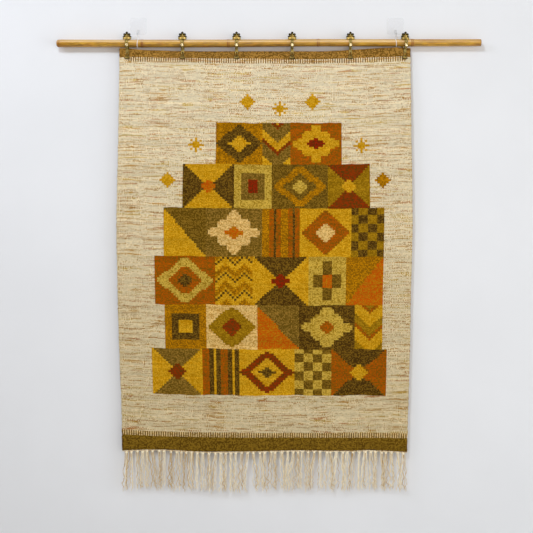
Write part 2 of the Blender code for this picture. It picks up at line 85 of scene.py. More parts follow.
# Lines across the cloth, as (x, z)
TOP_EDGE = (
    (-0.463, -0.0138), (-0.430, -0.0165), (-0.383, -0.0211), (-0.337, -0.0226), (-0.244, -0.0242),
    (0.174, -0.0240), (0.268, -0.0195), (0.360, -0.0145), (0.440, -0.0134),
)
UPPER_COMB_TOP = (
    (-0.414, -0.0434), (-0.337, -0.0459), (-0.197, -0.0468), (-0.011, -0.0480), (0.082, -0.0496),
    (0.175, -0.0490), (0.268, -0.0462), (0.360, -0.0437), (0.407, -0.0421),
)
UPPER_COMB_FOOT = (
    (-0.430, -0.0574), (-0.244, -0.0598), (-0.058, -0.0629), (0.128, -0.0632), (0.314, -0.0598),
    (0.407, -0.0567),
)
LOWER_COMB_TOP = (
    (-0.452, -1.1966), (-0.337, -1.2037), (-0.213, -1.2053), (-0.011, -1.2071), (0.190, -1.2078),
    (0.429, -1.2090),
)
LOWER_COMB_HEIGHT = 0.0149
BOTTOM_EDGE = (
    (-0.455, -1.2620), (-0.337, -1.2605), (-0.213, -1.2657), (-0.027, -1.2642), (0.097, -1.2626),
    (0.252, -1.2642), (0.314, -1.2626), (0.429, -1.2673),
)

# Clips, with how far each is turned about the vertical
Clip = namedtuple("Clip", "x turn")
CLIPS = [Clip(*row) for row in (
    (-0.4380, -5.0),
    (-0.2665, -4.0),
    (-0.0995, 0.0),
    (0.0725, 0.0),
    (0.2530, -1.5),
    (0.4205, 18.0),
)]
CLIP_FLAT = 0.016

# How far the cloth stands out of its plane, between clips and lower down
BAY_BOWS = (-0.0035, 0.0022, -0.0018, 0.0024, -0.0040)
BAY_FADE = 0.16
Wave = namedtuple("Wave", "width shift depth")
WAVES = (
    Wave(0.62, 0.10, 0.0034),
    Wave(0.34, -0.06, 0.0020),
    Wave(0.205, 0.03, 0.0010),
)
WAVES_START = -0.10
WAVES_FULL = -1.00

# Weave: two warps to a cell of the design
WARPS = 252
CELLS_ACROSS = 126
CELLS_DOWN = 168
WARP_PITCH = 0.00357
PICK_PITCH = 0.0024
FLAP_ROWS = 4
FOLD_ROWS = 5
FRONT_ROWS = (4, 2, CELLS_DOWN, 2, 6)
PLAIN_COMB_LEFT = 7
PLAIN_COMB_RIGHT = 5
RIB_RISE = 0.00006
# Shares of its thickness that the cloth keeps at its sides, one warp further in, and at both ends
SIDE_SHARE = 0.35
NEXT_SHARE = 0.86
END_SHARE = 0.6

# How unevenly the cloth is woven. Its rows wave between its two borders
CLOTH_SEED = 11
WAVY_FOOT = -1.19
WAVY_MARGIN = 0.03
PICK_DRIFT = 0.006
PICK_JITTER = 0.00022
WARP_JITTER = 0.00016
SELVEDGE_JITTER = 0.00045
THICKNESS_JITTER = 0.00005
PickWave = namedtuple("PickWave", "depth width height swing pace")
PICK_WAVES = (
    PickWave(0.0006, 0.093, 0.31, 1.3, 0.041),
    PickWave(0.0004, 0.052, -0.17, 1.7, 0.023),
    PickWave(0.0009, 0.21, 0.12, 0.0, 1.0),
)


def linear(colour):
    """An sRGB colour given as 0 to 255, as linear numbers."""
    shares = np.asarray(colour, dtype=float) / 255
    return np.where(shares <= 0.04045, shares / 12.92, ((shares + 0.055) / 1.055) ** 2.4)


def curve(rows, at):
    """Values at places on a smooth curve through (place, value) rows in rising order."""
    places, values = np.array(rows, dtype=float).T
    last = len(places) - 1
    low = np.maximum(np.arange(last + 1) - 1, 0)
    high = np.minimum(np.arange(last + 1) + 1, last)
    slopes = (values[high] - values[low]) / (places[high] - places[low])
    at = np.clip(at, places[0], places[-1])
    i = np.clip(np.searchsorted(places, at, side="right") - 1, 0, last - 1)
    width = places[i + 1] - places[i]
    t = (at - places[i]) / width
    return (
        (2 * t**3 - 3 * t**2 + 1) * values[i]
        + (t**3 - 2 * t**2 + t) * width * slopes[i]
        + (3 * t**2 - 2 * t**3) * values[i + 1]
        + (t**3 - t**2) * width * slopes[i + 1]
    )


def ease(t):
    """A soft step from 0 to 1."""
    t = np.clip(t, 0.0, 1.0)
    return t * t * (3 - 2 * t)


def rod_radius(x):
    share = (x + ROD_LENGTH / 2) / ROD_LENGTH
    return ROD_LEFT_RADIUS + (ROD_RIGHT_RADIUS - ROD_LEFT_RADIUS) * share


def rod_rise(x):
    """The height of the cane's axis."""
    return float(curve(CANE_LINE, x))


# Materials


def operation(kind):
    return lambda self, other: self.graph.math(kind, self, other)


class Value:
    """What a node of a material gives out. A sum or product of values makes a node in turn."""

    def __init__(self, graph, socket):
        self.graph = graph
        self.socket = socket

    def __rsub__(self, number):
        return self.graph.math("SUBTRACT", number, self)

    __add__ = operation("ADD")
    __sub__ = operation("SUBTRACT")
    __mul__ = operation("MULTIPLY")
    __truediv__ = operation("DIVIDE")
    __pow__ = operation("POWER")
    __mod__ = operation("MODULO")


class Graph:
    """A material's nodes in short calls. Each call that makes a node gives its value."""

    def __init__(self, name, roughness=0.8, metallic=0.0):
        self.material = bpy.data.materials.new(name)
        self.material.use_nodes = True
        self.nodes = self.material.node_tree.nodes
        self.shader = self.nodes["Principled BSDF"]
        self.set("Roughness", roughness)
        self.set("Metallic", metallic)

    def put(self, socket, value):
        if isinstance(value, Value):
            self.material.node_tree.links.new(value.socket, socket)
        else:
            socket.default_value = value

    def set(self, name, value):
        self.put(self.shader.inputs[name], value)

    def node(self, kind, inputs=None, output=0, **settings):
        """A new node's value. inputs has what goes into each socket, by its number or name."""
        node = self.nodes.new("ShaderNode" + kind)
        for name, setting in settings.items():
            setattr(node, name, setting)
        for key, value in (inputs or {}).items():
            self.put(node.inputs[key], value)
        return Value(self, node.outputs[output])

    def math(self, kind, *values):
        return self.node("Math", dict(enumerate(values)), operation=kind)

    def attribute(self, name, output="Vector"):
        return self.node("Attribute", output=output, attribute_name=name)

    def place(self):
        return self.node("TexCoord", output="Object")

    def split(self, vector):
        x = self.node("SeparateXYZ", {0: vector})
        return [Value(self, socket) for socket in x.socket.node.outputs]

    def joined(self, x, y):
        return self.node("CombineXYZ", {0: x, 1: y})

    def noise(self, vector, per_metre, detail=2.0, roughness=0.5):
        """Noise whose grain is set by how many lumps there are in a metre along each axis."""
        scaled = self.node("Mapping", {"Vector": vector, "Scale": per_metre})
        inputs = {"Vector": scaled, "Scale": 1.0, "Detail": detail, "Roughness": roughness}
        return self.node("TexNoise", inputs, output="Fac")

    def speckle(self, vector):
        """A number from 0 to 1 that is the same all over each whole-numbered place."""
        return self.node("TexWhiteNoise", {"Vector": vector}, output="Value", noise_dimensions="2D")

    def hump(self, value):
        """Rises from 0 to 1 and falls back between whole numbers."""
        return self.math("SINE", self.math("FRACT", value) * math.pi)

    def range(self, value, low, high, to_low=0.0, to_high=1.0, kind="SMOOTHSTEP"):
        inputs = dict(enumerate((value, low, high, to_low, to_high)))
        return self.node("MapRange", inputs, interpolation_type=kind)

    def spread(self, noise, to_low=0.0, to_high=1.0):
        """Noise, most of which lies between 0.3 and 0.7, spread over other numbers."""
        return self.range(noise, 0.3, 0.7, to_low, to_high)

    def blend(self, share, a, b):
        """A colour between two others. Each is a value, or sRGB numbers from 0 to 255."""
        a, b = (c if isinstance(c, Value) else (*linear(c), 1.0) for c in (a, b))
        return self.node("Mix", {0: share, 6: a, 7: b}, output=2, data_type="RGBA")

    def shade(self, colour, share):
        """The colour times a number."""
        return self.node("VectorMath", {0: colour, "Scale": share}, operation="SCALE")

    def bump(self, height, distance, strength):
        inputs = {"Height": height, "Distance": distance, "Strength": strength}
        self.set("Normal", self.node("Bump", inputs))


def wool_material():
    """Weft-faced weave: beads of yarn over ribs. Flecks of a second colour run along the picks."""
    g = Graph("wool_weave", roughness=0.95)
    flat = g.attribute("flat")
    across, down, _ = g.split(flat)
    drift = g.noise(flat, (7.0, 16.0, 1.0), detail=1.0)
    down = (drift - 0.5) * PICK_DRIFT + down

    warp = across / WARP_PITCH
    column = g.math("FLOOR", warp)
    odd = column % 2.0
    pick = odd * 0.5 + down / PICK_PITCH
    row = g.math("FLOOR", pick)
    height = g.hump(warp) ** 0.6 * g.hump(pick) ** 0.5

    along_pick = g.joined(across, (row - odd * 0.5) * PICK_PITCH)
    long_fleck = g.noise(along_pick, (12.0, 360.0, 1.0), roughness=0.55)
    short_fleck = g.noise(along_pick, (240.0, 400.0, 1.0), roughness=0.6)
    length = g.attribute("yarn_a", "Alpha")
    fleck = long_fleck * length + short_fleck * (1.0 - length)
    speckle = g.speckle(g.joined(column, row))
    over = (speckle - 0.5) * (0.60 - length * 0.50) + odd * 0.03 + fleck
    edge = 1.015 - g.attribute("yarn_b", "Alpha")
    second = g.range(over, edge - 0.05, edge + 0.05)
    colour = g.blend(second, g.attribute("yarn_a", "Color"), g.attribute("yarn_b", "Color"))

    yarn_tone = g.spread(g.noise(along_pick, (30.0, 420.0, 1.0)), 0.92, 1.07)
    patch_tone = g.spread(g.noise(flat, (5.0, 28.0, 1.0)), 0.96, 1.04)
    bead_tone = 1.12 - speckle * 0.24
    # Painted shade: the colour is darker in the grooves between the beads and between the warps
    painted_groove_shade = height * 0.30 + 0.79
    g.set("Base Color", g.shade(colour, yarn_tone * patch_tone * painted_groove_shade * bead_tone))
    g.set("Sheen Weight", 0.04)
    g.set("Sheen Roughness", 0.5)
    g.set("Specular IOR Level", 0.06)
    fuzz = g.noise(flat, (2200.0, 2200.0, 1.0))
    g.bump(fuzz * 0.25 + height, distance=0.0007, strength=0.7)
    return g.material


PLY_LENGTH = 0.0042


def strand_material():
    """Twisted undyed warp yarn: two plies that turn round each other, with fibres across them."""
    g = Graph("warp_yarn", roughness=0.9)
    side, front, along = g.split(g.attribute("around"))
    wound = along * (2 * math.pi / PLY_LENGTH) + g.math("ARCTAN2", side, front)
    ply = g.math("ABSOLUTE", g.math("SINE", wound))
    place, tone = g.place(), g.attribute("tone", "Fac")
    fibre = g.noise(place, (900.0, 900.0, 250.0), detail=3.0)
    patch = g.noise(place, (90.0, 90.0, 40.0))
    tan_share = g.range((patch - 0.5) * 0.8 + tone, 0.0, 1.0, kind="LINEAR")
    # Painted shade darkens the grooves between the two plies; tones below zero, which the knots have, paint
    # a highlight
    dark = (ply**0.5 * 0.38 + 0.66) * g.range(tone, -0.4, 0.6, 1.14, 0.96, kind="LINEAR")
    dark = dark * g.spread(fibre, 0.90, 1.08)
    g.set("Base Color", g.shade(g.blend(tan_share, (255, 243, 214), (208, 170, 106)), dark))
    g.set("Sheen Weight", 0.08)
    g.set("Specular IOR Level", 0.12)
    g.bump(fibre * 0.3 + ply, distance=0.0003, strength=0.7)
    return g.material


def cane_material():
    """Varnished cane: fibres and soft patches lengthwise, dark at its joints' rings, with a painted
    highlight on top and painted shade underneath.
    """
    g = Graph("cane")
    place, ring = g.place(), g.attribute("tone", "Fac")
    along, _, height = g.split(place)
    right_end = g.range(along, 0.42, 0.48)
    beyond_cloth = g.range(g.math("ABSOLUTE", along), 0.44, 0.50)

    patches = g.noise(place, (9.0, 60.0, 60.0), detail=3.0)
    streaks = g.noise(place, (9.0, 480.0, 480.0), detail=3.0, roughness=0.6)
    colour = g.blend(g.range(streaks * 0.5 + patches * 0.5, 0.36, 0.64), (178, 124, 4), (222, 168, 46))
    blush = g.range(g.noise(place, (22.0, 120.0, 120.0)), 0.50, 0.72)
    colour = g.blend(blush * 0.5, colour, (190, 118, 30))
    colour = g.blend(ring * 0.95, colour, (146, 78, 4))
    # Painted highlight: a paler band just above the axis, whose strength varies along the rod and fades at
    # the right end
    painted_highlight_strength = g.range(g.noise(place, (5.0, 0.0, 0.0), detail=1.0), 0.35, 0.65, 0.32, 0.64)
    painted_highlight_strength = painted_highlight_strength * (1.0 - right_end * 0.65)
    pale = g.range(height, 0.0, 0.003, 0.0, painted_highlight_strength) * g.range(height, 0.007, 0.0104, 1.0, 0.0)
    colour = g.blend(pale, colour, (238, 204, 146))

    # Painted light and shade: the colour darkens towards the underside, less so beyond the cloth's sides,
    # and brightens towards the top
    shaded = beyond_cloth * 0.12 + 0.62
    painted_light_ramp = g.range(height, -0.013, 0.005, shaded, 1.035 - right_end * 0.03)
    mottle = g.spread(g.noise(place, (45.0, 240.0, 240.0)), -0.30, 0.20)
    mottle = mottle * g.range(height, -0.003, 0.003, 1.0, 0.15) + 1.0
    fibres = g.noise(place, (60.0, 2600.0, 2600.0))
    g.set("Base Color", g.shade(colour, g.spread(fibres, 0.90, 1.06) * painted_light_ramp * mottle))
    g.set("Roughness", g.spread(streaks, 0.36, 0.50))
    g.set("Specular IOR Level", 0.3)
    g.set("Coat Weight", 0.8 - ring * 0.6)
    g.set("Coat Roughness", 0.16)
    g.bump(fibres * 0.4 + streaks, distance=0.00018, strength=0.5)
    return g.material


POLISHED_BRASS = (244, 228, 182)


def brass_material(name, bright, dark, roughness):
    """Old brass: worn bright on what stands proud, dark green-brown in the hollows and where its tone holds
    painted shade.
    """
    g = Graph(name, metallic=1.0)
    place, tone = g.place(), g.attribute("tone", "Fac")
    blotch = g.noise(place, (420.0, 420.0, 420.0), detail=4.0, roughness=0.6)
    worn = g.range((blotch - 0.5) * 0.7 + tone, 0.15, 0.85)
    polish = g.range(tone, 1.1, 1.4)
    g.set("Base Color", g.blend(polish, g.blend(worn, dark, bright), POLISHED_BRASS))
    g.set("Roughness", roughness + 0.22 - worn * 0.16 - polish * 0.12)
    fine = g.noise(place, (3000.0, 3000.0, 3000.0))
    g.bump(fine * 0.3 + blotch, distance=0.00012, strength=0.6)
    return g.material


def clear_material():
    """Clear moulded plastic with a faint haze."""
    g = Graph("clear_plastic")
    haze = g.noise(g.place(), (160.0, 160.0, 160.0), detail=3.0)
    g.set("Base Color", g.blend(g.spread(haze), (226, 228, 230), (244, 245, 246)))
    g.set("Roughness", g.spread(haze, 0.08, 0.2))
    g.set("Alpha", 0.07)
    g.set("IOR", 1.49)
    return g.material


def thread_material():
    g = Graph("thread", roughness=0.75)
    fibre = g.noise(g.place(), (2500.0, 2500.0, 700.0))
    g.set("Base Color", g.blend(g.spread(fibre), (232, 228, 226), (252, 250, 248)))
    g.set("Sheen Weight", 0.2)
    g.bump(fibre, distance=0.0002, strength=0.6)
    return g.material


# Meshes


def add_object(name, data):
    """Puts a mesh, a light or a camera into the scene."""
    obj = bpy.data.objects.new(name, data)
    bpy.context.scene.collection.objects.link(obj)
    return obj


def add_attribute(mesh, name, kind, field, values, domain="POINT"):
    layer = mesh.attributes.new(name, kind, domain)
    layer.data.foreach_set(field, np.array(values, dtype=np.float32).ravel())


def turns(count):
    """Angles spread evenly round a circle."""
    return [2 * math.pi * k / count for k in range(count)]


def circle(count):
    """The cosine and sine of each of those angles."""
    return [(math.cos(turn), math.sin(turn)) for turn in turns(count)]


class Shape:
    """Gathers grids of points into one mesh. Each point also has a tone and a place around its strand."""

    def __init__(self):
        self.points = []
        self.faces = []
        self.tones = []
        self.around = []

    def grid(self, rows, wrap=False, close=False, caps=(False, False), tone=0.5, around=None):
        """Quads between rows of points. wrap joins each row's ends, close joins the last and first rows."""
        start, across = len(self.points), len(rows[0])
        for r, row in enumerate(rows):
            self.points += row
            self.tones += [tone(r, c) if callable(tone) else tone for c in range(across)]
            self.around += around[r] if around else [(0.0, 0.0, 0.0)] * across
        for r in range(len(rows) if close else len(rows) - 1):
            below = (r + 1) % len(rows)
            for c in range(across if wrap else across - 1):
                after = (c + 1) % across
                quad = (r * across + c, below * across + c, below * across + after, r * across + after)
                self.faces.append([start + i for i in quad])
        if caps[0]:
            self.faces.append([start + c for c in range(across)])
        if caps[1]:
            last = start + (len(rows) - 1) * across
            self.faces.append([last + c for c in reversed(range(across))])

    def moved(self, matrix, other):
        """Adds a copy of another shape, turned and shifted by the matrix."""
        start = len(self.points)
        self.points += [matrix @ Vector(p) for p in other.points]
        self.faces += [[start + i for i in face] for face in other.faces]
        self.tones += other.tones
        self.around += other.around

    def piece(self, name, material):
        mesh = bpy.data.meshes.new(name)
        mesh.from_pydata([tuple(p) for p in self.points], [], self.faces)
        add_attribute(mesh, "tone", "FLOAT", "value", self.tones)
        add_attribute(mesh, "around", "FLOAT_VECTOR", "vector", self.around)
        mesh.shade_smooth()
        mesh.set_sharp_from_angle(angle=math.radians(50))
        mesh.validate()
        mesh.materials.append(material)
        return add_object(name, mesh)


def smooth_path(points, steps, closed=False):
    """A Catmull-Rom curve through the points, with so many steps between neighbours."""
    points = [Vector(p) for p in points]
    count = len(points)
    found = []
    for i in range(count if closed else count - 1):
        near = [n % count if closed else min(max(n, 0), count - 1) for n in range(i - 1, i + 3)]
        a, b, c, d = (points[n] for n in near)
        for k in range(steps):
            t = k / steps
            found.append(0.5 * (
                2 * b + (c - a) * t + (2 * a - 5 * b + 4 * c - d) * t**2 + (3 * b - a - 3 * c + d) * t**3
            ))
    return found if closed else found + [points[-1]]


def frames(path, closed=False):
    """(point, side, up) along a path, with the least turning from one to the next."""
    found = []
    side = Vector((0.31, 0.17, 0.94))
    count = len(path)
    for i, point in enumerate(path):
        before = path[(i - 1) % count] if closed or i else path[0]
        after = path[(i + 1) % count] if closed or i < count - 1 else path[-1]
        run = (after - before).normalized()
        side = (side - run * side.dot(run)).normalized()
        found.append((point, side, run.cross(side)))
    return found


def tube(shape, path, radius, sides, tone=0.5, closed=False, flat=1.0):
    """A tube along a path. radius is a number or a function of the share of the path."""
    rows, around = [], []
    length = 0.0
    for i, (point, side, up) in enumerate(frames(path, closed)):
        length += (point - path[i - 1]).length if i else 0.0
        size = radius(i / (len(path) - 1)) if callable(radius) else radius
        rows.append([point + side * (size * cos) + up * (size * flat * sin) for cos, sin in circle(sides)])
        around.append([(sin, cos, length) for cos, sin in circle(sides)])
    shape.grid(rows, wrap=True, close=closed, caps=(not closed, not closed), tone=tone, around=around)


# Cloth


def stand_out(x, z):
    """How far the cloth's middle surface stands from the hem's plane at places of its face."""
    near_top = 1 - ease((HEM_BOTTOM - z) / BAY_FADE)
    bow = np.zeros_like(x)
    for clip, after, depth in zip(CLIPS, CLIPS[1:], BAY_BOWS):
        share = (x - clip.x - CLIP_FLAT) / (after.x - clip.x - 2 * CLIP_FLAT)
        bow = np.where((share > 0) & (share < 1), depth * np.sin(math.pi * share) ** 2, bow)
    twist = np.zeros_like(x)
    for clip in CLIPS:
        away = x - clip.x
        hold = 1 - ease((abs(away) - CLIP_FLAT) / (2 * CLIP_FLAT))
        twist += math.tan(math.radians(clip.turn)) * away * hold
    wave = sum(w.depth * np.sin(2 * math.pi * (x - w.shift) / w.width) for w in WAVES)
    return (bow + twist) * near_top + wave * ease((WAVES_START - z) / (WAVES_START - WAVES_FULL))


def side_x(share, z):
    rows = sorted(SIDES)
    left = curve([(row.z, row.left) for row in rows], z)
    right = curve([(row.z, row.right) for row in rows], z)
    return left + (right - left) * share


def cloth_rows():
    """Lines of points across the cloth's middle surface, from the hem's back edge over the fold and down."""
    shares = np.linspace(0, 1, WARPS + 1)
    x = side_x(shares, np.zeros_like(shares))
    low_x = side_x(shares, np.full_like(shares, SIDES[-1].z))
    top = curve(TOP_EDGE, x) - HEM_HALF_DEPTH
    lower_comb = curve(LOWER_COMB_TOP, low_x)
    lines = [
        top,
        curve(UPPER_COMB_TOP, x),
        curve(UPPER_COMB_FOOT, x),
        lower_comb,
        lower_comb - LOWER_COMB_HEIGHT,
        curve(BOTTOM_EDGE, low_x),
    ]
    rows = []
    for k in range(FLAP_ROWS):
        z = HEM_BOTTOM + (top - HEM_BOTTOM) * k / FLAP_ROWS
        rows.append((x, HEM_RADIUS + stand_out(x, z), z))
    for k in range(FOLD_ROWS + 1):
        turn = math.pi * k / FOLD_ROWS
        z = top + HEM_RADIUS * math.sin(turn)
        rows.append((x, HEM_RADIUS * math.cos(turn) + stand_out(x, z), z))
    for upper, lower, count in zip(lines, lines[1:], FRONT_ROWS):
        for k in range(count):
            z = upper + (lower - upper) * (k + 1) / count
            row_x = side_x(shares, z)
            rows.append((row_x, -HEM_RADIUS + stand_out(row_x, z), z))
    places = np.array(rows).transpose(0, 2, 1)
    places[:, :, 1] -= ROD_OFFSET
    return places


def uneven_weave(places, rng):
    """Shifts the points as a hand weaver's rows do: wavy picks, ribs that stand proud and rough sides."""
    x, z = places[:, :, 0], places[:, :, 2].copy()
    front = slice(FLAP_ROWS + FOLD_ROWS + 1, None)
    inside = ease((HEM_BOTTOM - z) / WAVY_MARGIN) * ease((z - WAVY_FOOT) / WAVY_MARGIN)
    wave = sum(
        w.depth * np.sin(2 * math.pi * (x / w.width + z / w.height) + w.swing * np.sin(z / w.pace))
        for w in PICK_WAVES
    )
    places[front, :, 2] += (wave * inside)[front]
    places[front, :, 2] += rng.normal(0, PICK_JITTER, x.shape)[front] * inside[front]
    places[:, 1:-1, 0] += rng.normal(0, WARP_JITTER, x[:, 1:-1].shape)
    for side in (0, -1):
        places[:, side, 0] += rng.normal(0, SELVEDGE_JITTER, len(x))


def two_sides(places, rng):
    """The outer and inner surface at each side of the middle one, thinner at the selvedges."""
    down = np.gradient(places, axis=0)
    across = np.gradient(places, axis=1)
    out = np.cross(down, across)
    out /= np.linalg.norm(out, axis=2, keepdims=True)
    half = np.full(places.shape[:2], CLOTH_THICKNESS / 2)
    half[:, 1::2] += RIB_RISE
    half += rng.normal(0, THICKNESS_JITTER, half.shape)
    half[:, [1, -2]] *= NEXT_SHARE
    half[:, [0, -1]] *= SIDE_SHARE
    half[[0, -1], :] *= END_SHARE
    return places + out * half[..., None], places - out * half[..., None]


def build_cloth(material):
    rng = np.random.default_rng(CLOTH_SEED)
    places = cloth_rows()
    steps = np.linalg.norm(np.diff(places[:, WARPS // 2], axis=0), axis=1)
    down = np.concatenate([[0.0], np.cumsum(steps)])
    uneven_weave(places, rng)
    outer, inner = two_sides(places, rng)
    rows, across = outer.shape[:2]
    count = rows * across
    number = np.arange(count).reshape(rows, across)

    def quads(base):
        return np.stack([base[:-1, :-1], base[1:, :-1], base[1:, 1:], base[:-1, 1:]], axis=-1).reshape(-1, 4)

    def rim(line):
        return np.stack([line[:-1], line[1:], line[1:] + count, line[:-1] + count], axis=-1)

    front = quads(number)
    back = quads(number + count)[:, ::-1]
    edges = [rim(number[::-1, 0]), rim(number[:, -1]), rim(number[0]), rim(number[-1, ::-1])]
    faces = np.concatenate([front, back, *edges])

    mesh = bpy.data.meshes.new("tapestry_cloth")
    points = np.concatenate([outer.reshape(-1, 3), inner.reshape(-1, 3)])
    mesh.from_pydata(points.tolist(), [], faces.tolist())
    flat = np.zeros(outer.shape)
    flat[..., 0] = np.arange(across) * WARP_PITCH
    flat[..., 1] = down[:, None]
    add_attribute(mesh, "flat", "FLOAT_VECTOR", "vector", [flat, flat])
    for name, colours in zip(("yarn_a", "yarn_b"), paint_cloth(rng)):
        grid = colours.reshape(-1, 4)
        by_face = np.concatenate([grid, grid, colours[:, 0], colours[:, -1], colours[0], colours[-1]])
        add_attribute(mesh, name, "FLOAT_COLOR", "color", np.repeat(by_face, 4, axis=0), "CORNER")

    add_bake_map(mesh, faces, rows, across, len(front))
    mesh.shade_smooth()
    mesh.materials.append(material)
    return add_object("tapestry_cloth", mesh), places[-1]


CHART_MARGIN = 0.01
CHART_WIDTH = 0.47
EDGE_CHART_U = 0.490
EDGE_CHART_WIDTH = 0.004


def add_bake_map(mesh, faces, rows, across, front_count):
    """Lays the outer side on the left half of the unit square and the inner side on the right half."""
    count = rows * across
    row, column = np.divmod(faces % count, across)
    u = CHART_MARGIN + CHART_WIDTH * column / (across - 1)
    v = CHART_MARGIN + (1 - 2 * CHART_MARGIN) * row / (rows - 1)
    u[front_count:] += 0.5
    edge = slice(2 * front_count, None)
    u[edge] = EDGE_CHART_U + EDGE_CHART_WIDTH * (faces[edge] >= count)
    chart = mesh.uv_layers.new(name="OFBake")
    chart.data.foreach_set("uv", np.stack([u, 1 - v], axis=-1).astype(np.float32).ravel())


# Each yarn's two tones, as sRGB, with the share of the second one and how long its flecks are, 0 to 1
Yarn = namedtuple("Yarn", "name main second share length", defaults=(0.46, 0.35))
YARNS = [Yarn(*row) for row in (
    ("cream", (239, 223, 188), (196, 152, 92), 0.43, 1.0),
    ("gold", (186, 130, 0), (226, 172, 34), 0.50, 0.35),
    ("straw", (204, 168, 66), (168, 130, 30), 0.44, 0.35),
    ("ochre", (188, 126, 2), (146, 96, 0), 0.50, 0.35),
    ("mustard", (136, 98, 2), (180, 136, 18)),
    ("orange", (190, 84, 0), (194, 130, 10), 0.44, 0.35),
    ("rust", (174, 84, 0), (134, 88, 4), 0.48, 0.35),
    ("brick", (142, 50, 0), (100, 62, 6)),
    ("red", (146, 34, 0), (104, 46, 4)),
    ("brown", (72, 48, 6), (128, 94, 24)),
    ("olive", (94, 68, 8), (146, 110, 30)),
    ("moss", (104, 78, 16), (158, 120, 44)),
    ("sand", (230, 192, 118), (208, 158, 76)),
    ("top_olive", (174, 129, 57), (123, 87, 29), 0.50, 0.45),
    ("base_olive", (135, 103, 26), (97, 69, 10), 0.50, 0.45),
    ("low_tooth", (218, 190, 138), (180, 142, 84), 0.35, 0.25),
)]
YARN_INDEX = {yarn.name: i for i, yarn in enumerate(YARNS)}

# Colours of the stray streaks in the cream field, with how common each is
Streak = namedtuple("Streak", "colour weight")
STREAKS = [Streak(*row) for row in (
    ((210, 162, 84), 6),
    ((188, 136, 64), 3),
    ((216, 180, 134), 4),
    ((206, 148, 96), 3),
    ((216, 180, 92), 4),
)]

# Between which numbers of faces a streak's length lies
STREAK_LENGTHS = (8, 40)

# (place, amount): how much darker and more golden the cream gets from the cloth's top, 0, to its foot, 1
CREAM_DARKENING = ((0.0, 0.0), (0.1, 0.03), (0.36, 0.45), (0.5, 0.62), (0.65, 0.92), (1.0, 1.0))
# The shares of red, green and blue that its two yarns have lost by then
CREAM_LOSS = np.array([0.21, 0.25, 0.36])
MAIN_LOSS = CREAM_LOSS * 0.86
SECOND_LOSS = CREAM_LOSS * 1.42

# How much lighter or darker than its neighbours a row is, and a face
ROW_TONES = 0.04
FACE_TONES = 0.02

# Blocks of the design, and after them the small figures round it. Places and sizes are in cells, and cell
# 0, 0 is the field's top left. Each has three yarns
Block = namedtuple("Block", "left top width height motif ground figure accent")
BLOCKS = [Block(*row) for row in (
    (42, 27, 20, 19, "rhomb", "ochre", "brown", "gold"),
    (62, 27, 12, 19, "vees", "moss", "gold", "brick"),
    (74, 27, 22, 19, "star", "rust", "gold", "red"),
    (28, 46, 22, 20, "hourglass", "brown", "gold", "orange"),
    (50, 46, 16, 20, "nested", "straw", "moss", "red"),
    (66, 46, 24, 20, "diamond", "olive", "ochre", "straw"),
    (90, 46, 18, 20, "butterfly", "brick", "mustard", "gold"),
    (20, 66, 18, 22, "slope", "gold", "olive", "gold"),
    (38, 66, 24, 22, "star", "moss", "sand", "orange"),
    (62, 66, 16, 22, "bars", "rust", "ochre", "brown"),
    (78, 66, 22, 22, "rhomb", "gold", "rust", "sand"),
    (100, 66, 14, 22, "checks", "mustard", "brown", "gold"),
    (16, 88, 26, 22, "diamond", "rust", "straw", "brown"),
    (42, 88, 16, 22, "zigzag", "gold", "ochre", "brown"),
    (58, 88, 24, 22, "butterfly", "brown", "gold", "red"),
    (82, 88, 16, 22, "cross", "straw", "olive", "orange"),
    (98, 88, 16, 22, "rise", "ochre", "orange", "gold"),
    (20, 110, 18, 20, "nested", "ochre", "brown", "gold"),
    (38, 110, 22, 20, "rhomb", "sand", "mustard", "brick"),
    (60, 110, 18, 20, "slope", "orange", "moss", "gold"),
    (78, 110, 24, 20, "star", "brown", "straw", "rust"),
    (102, 110, 12, 20, "vees", "gold", "mustard", "rust"),
    (14, 130, 22, 21, "butterfly", "moss", "gold", "brick"),
    (36, 130, 16, 21, "bars", "brown", "rust", "gold"),
    (52, 130, 24, 21, "diamond", "gold", "brick", "brown"),
    (76, 130, 16, 21, "checks", "olive", "straw", "gold"),
    (92, 130, 24, 21, "hourglass", "rust", "brown", "gold"),
    (30, 34, 7, 7, "small_star", "cream", "gold", "gold"),
    (18, 50, 7, 7, "lozenge", "cream", "gold", "gold"),
    (52, 14, 7, 7, "lozenge", "cream", "gold", "gold"),
    (66, 17, 7, 7, "small_star", "cream", "gold", "gold"),
    (80, 14, 7, 7, "lozenge", "cream", "gold", "gold"),
    (101, 34, 7, 7, "small_star", "cream", "gold", "gold"),
    (110, 50, 7, 7, "lozenge", "cream", "ochre", "ochre"),
)]


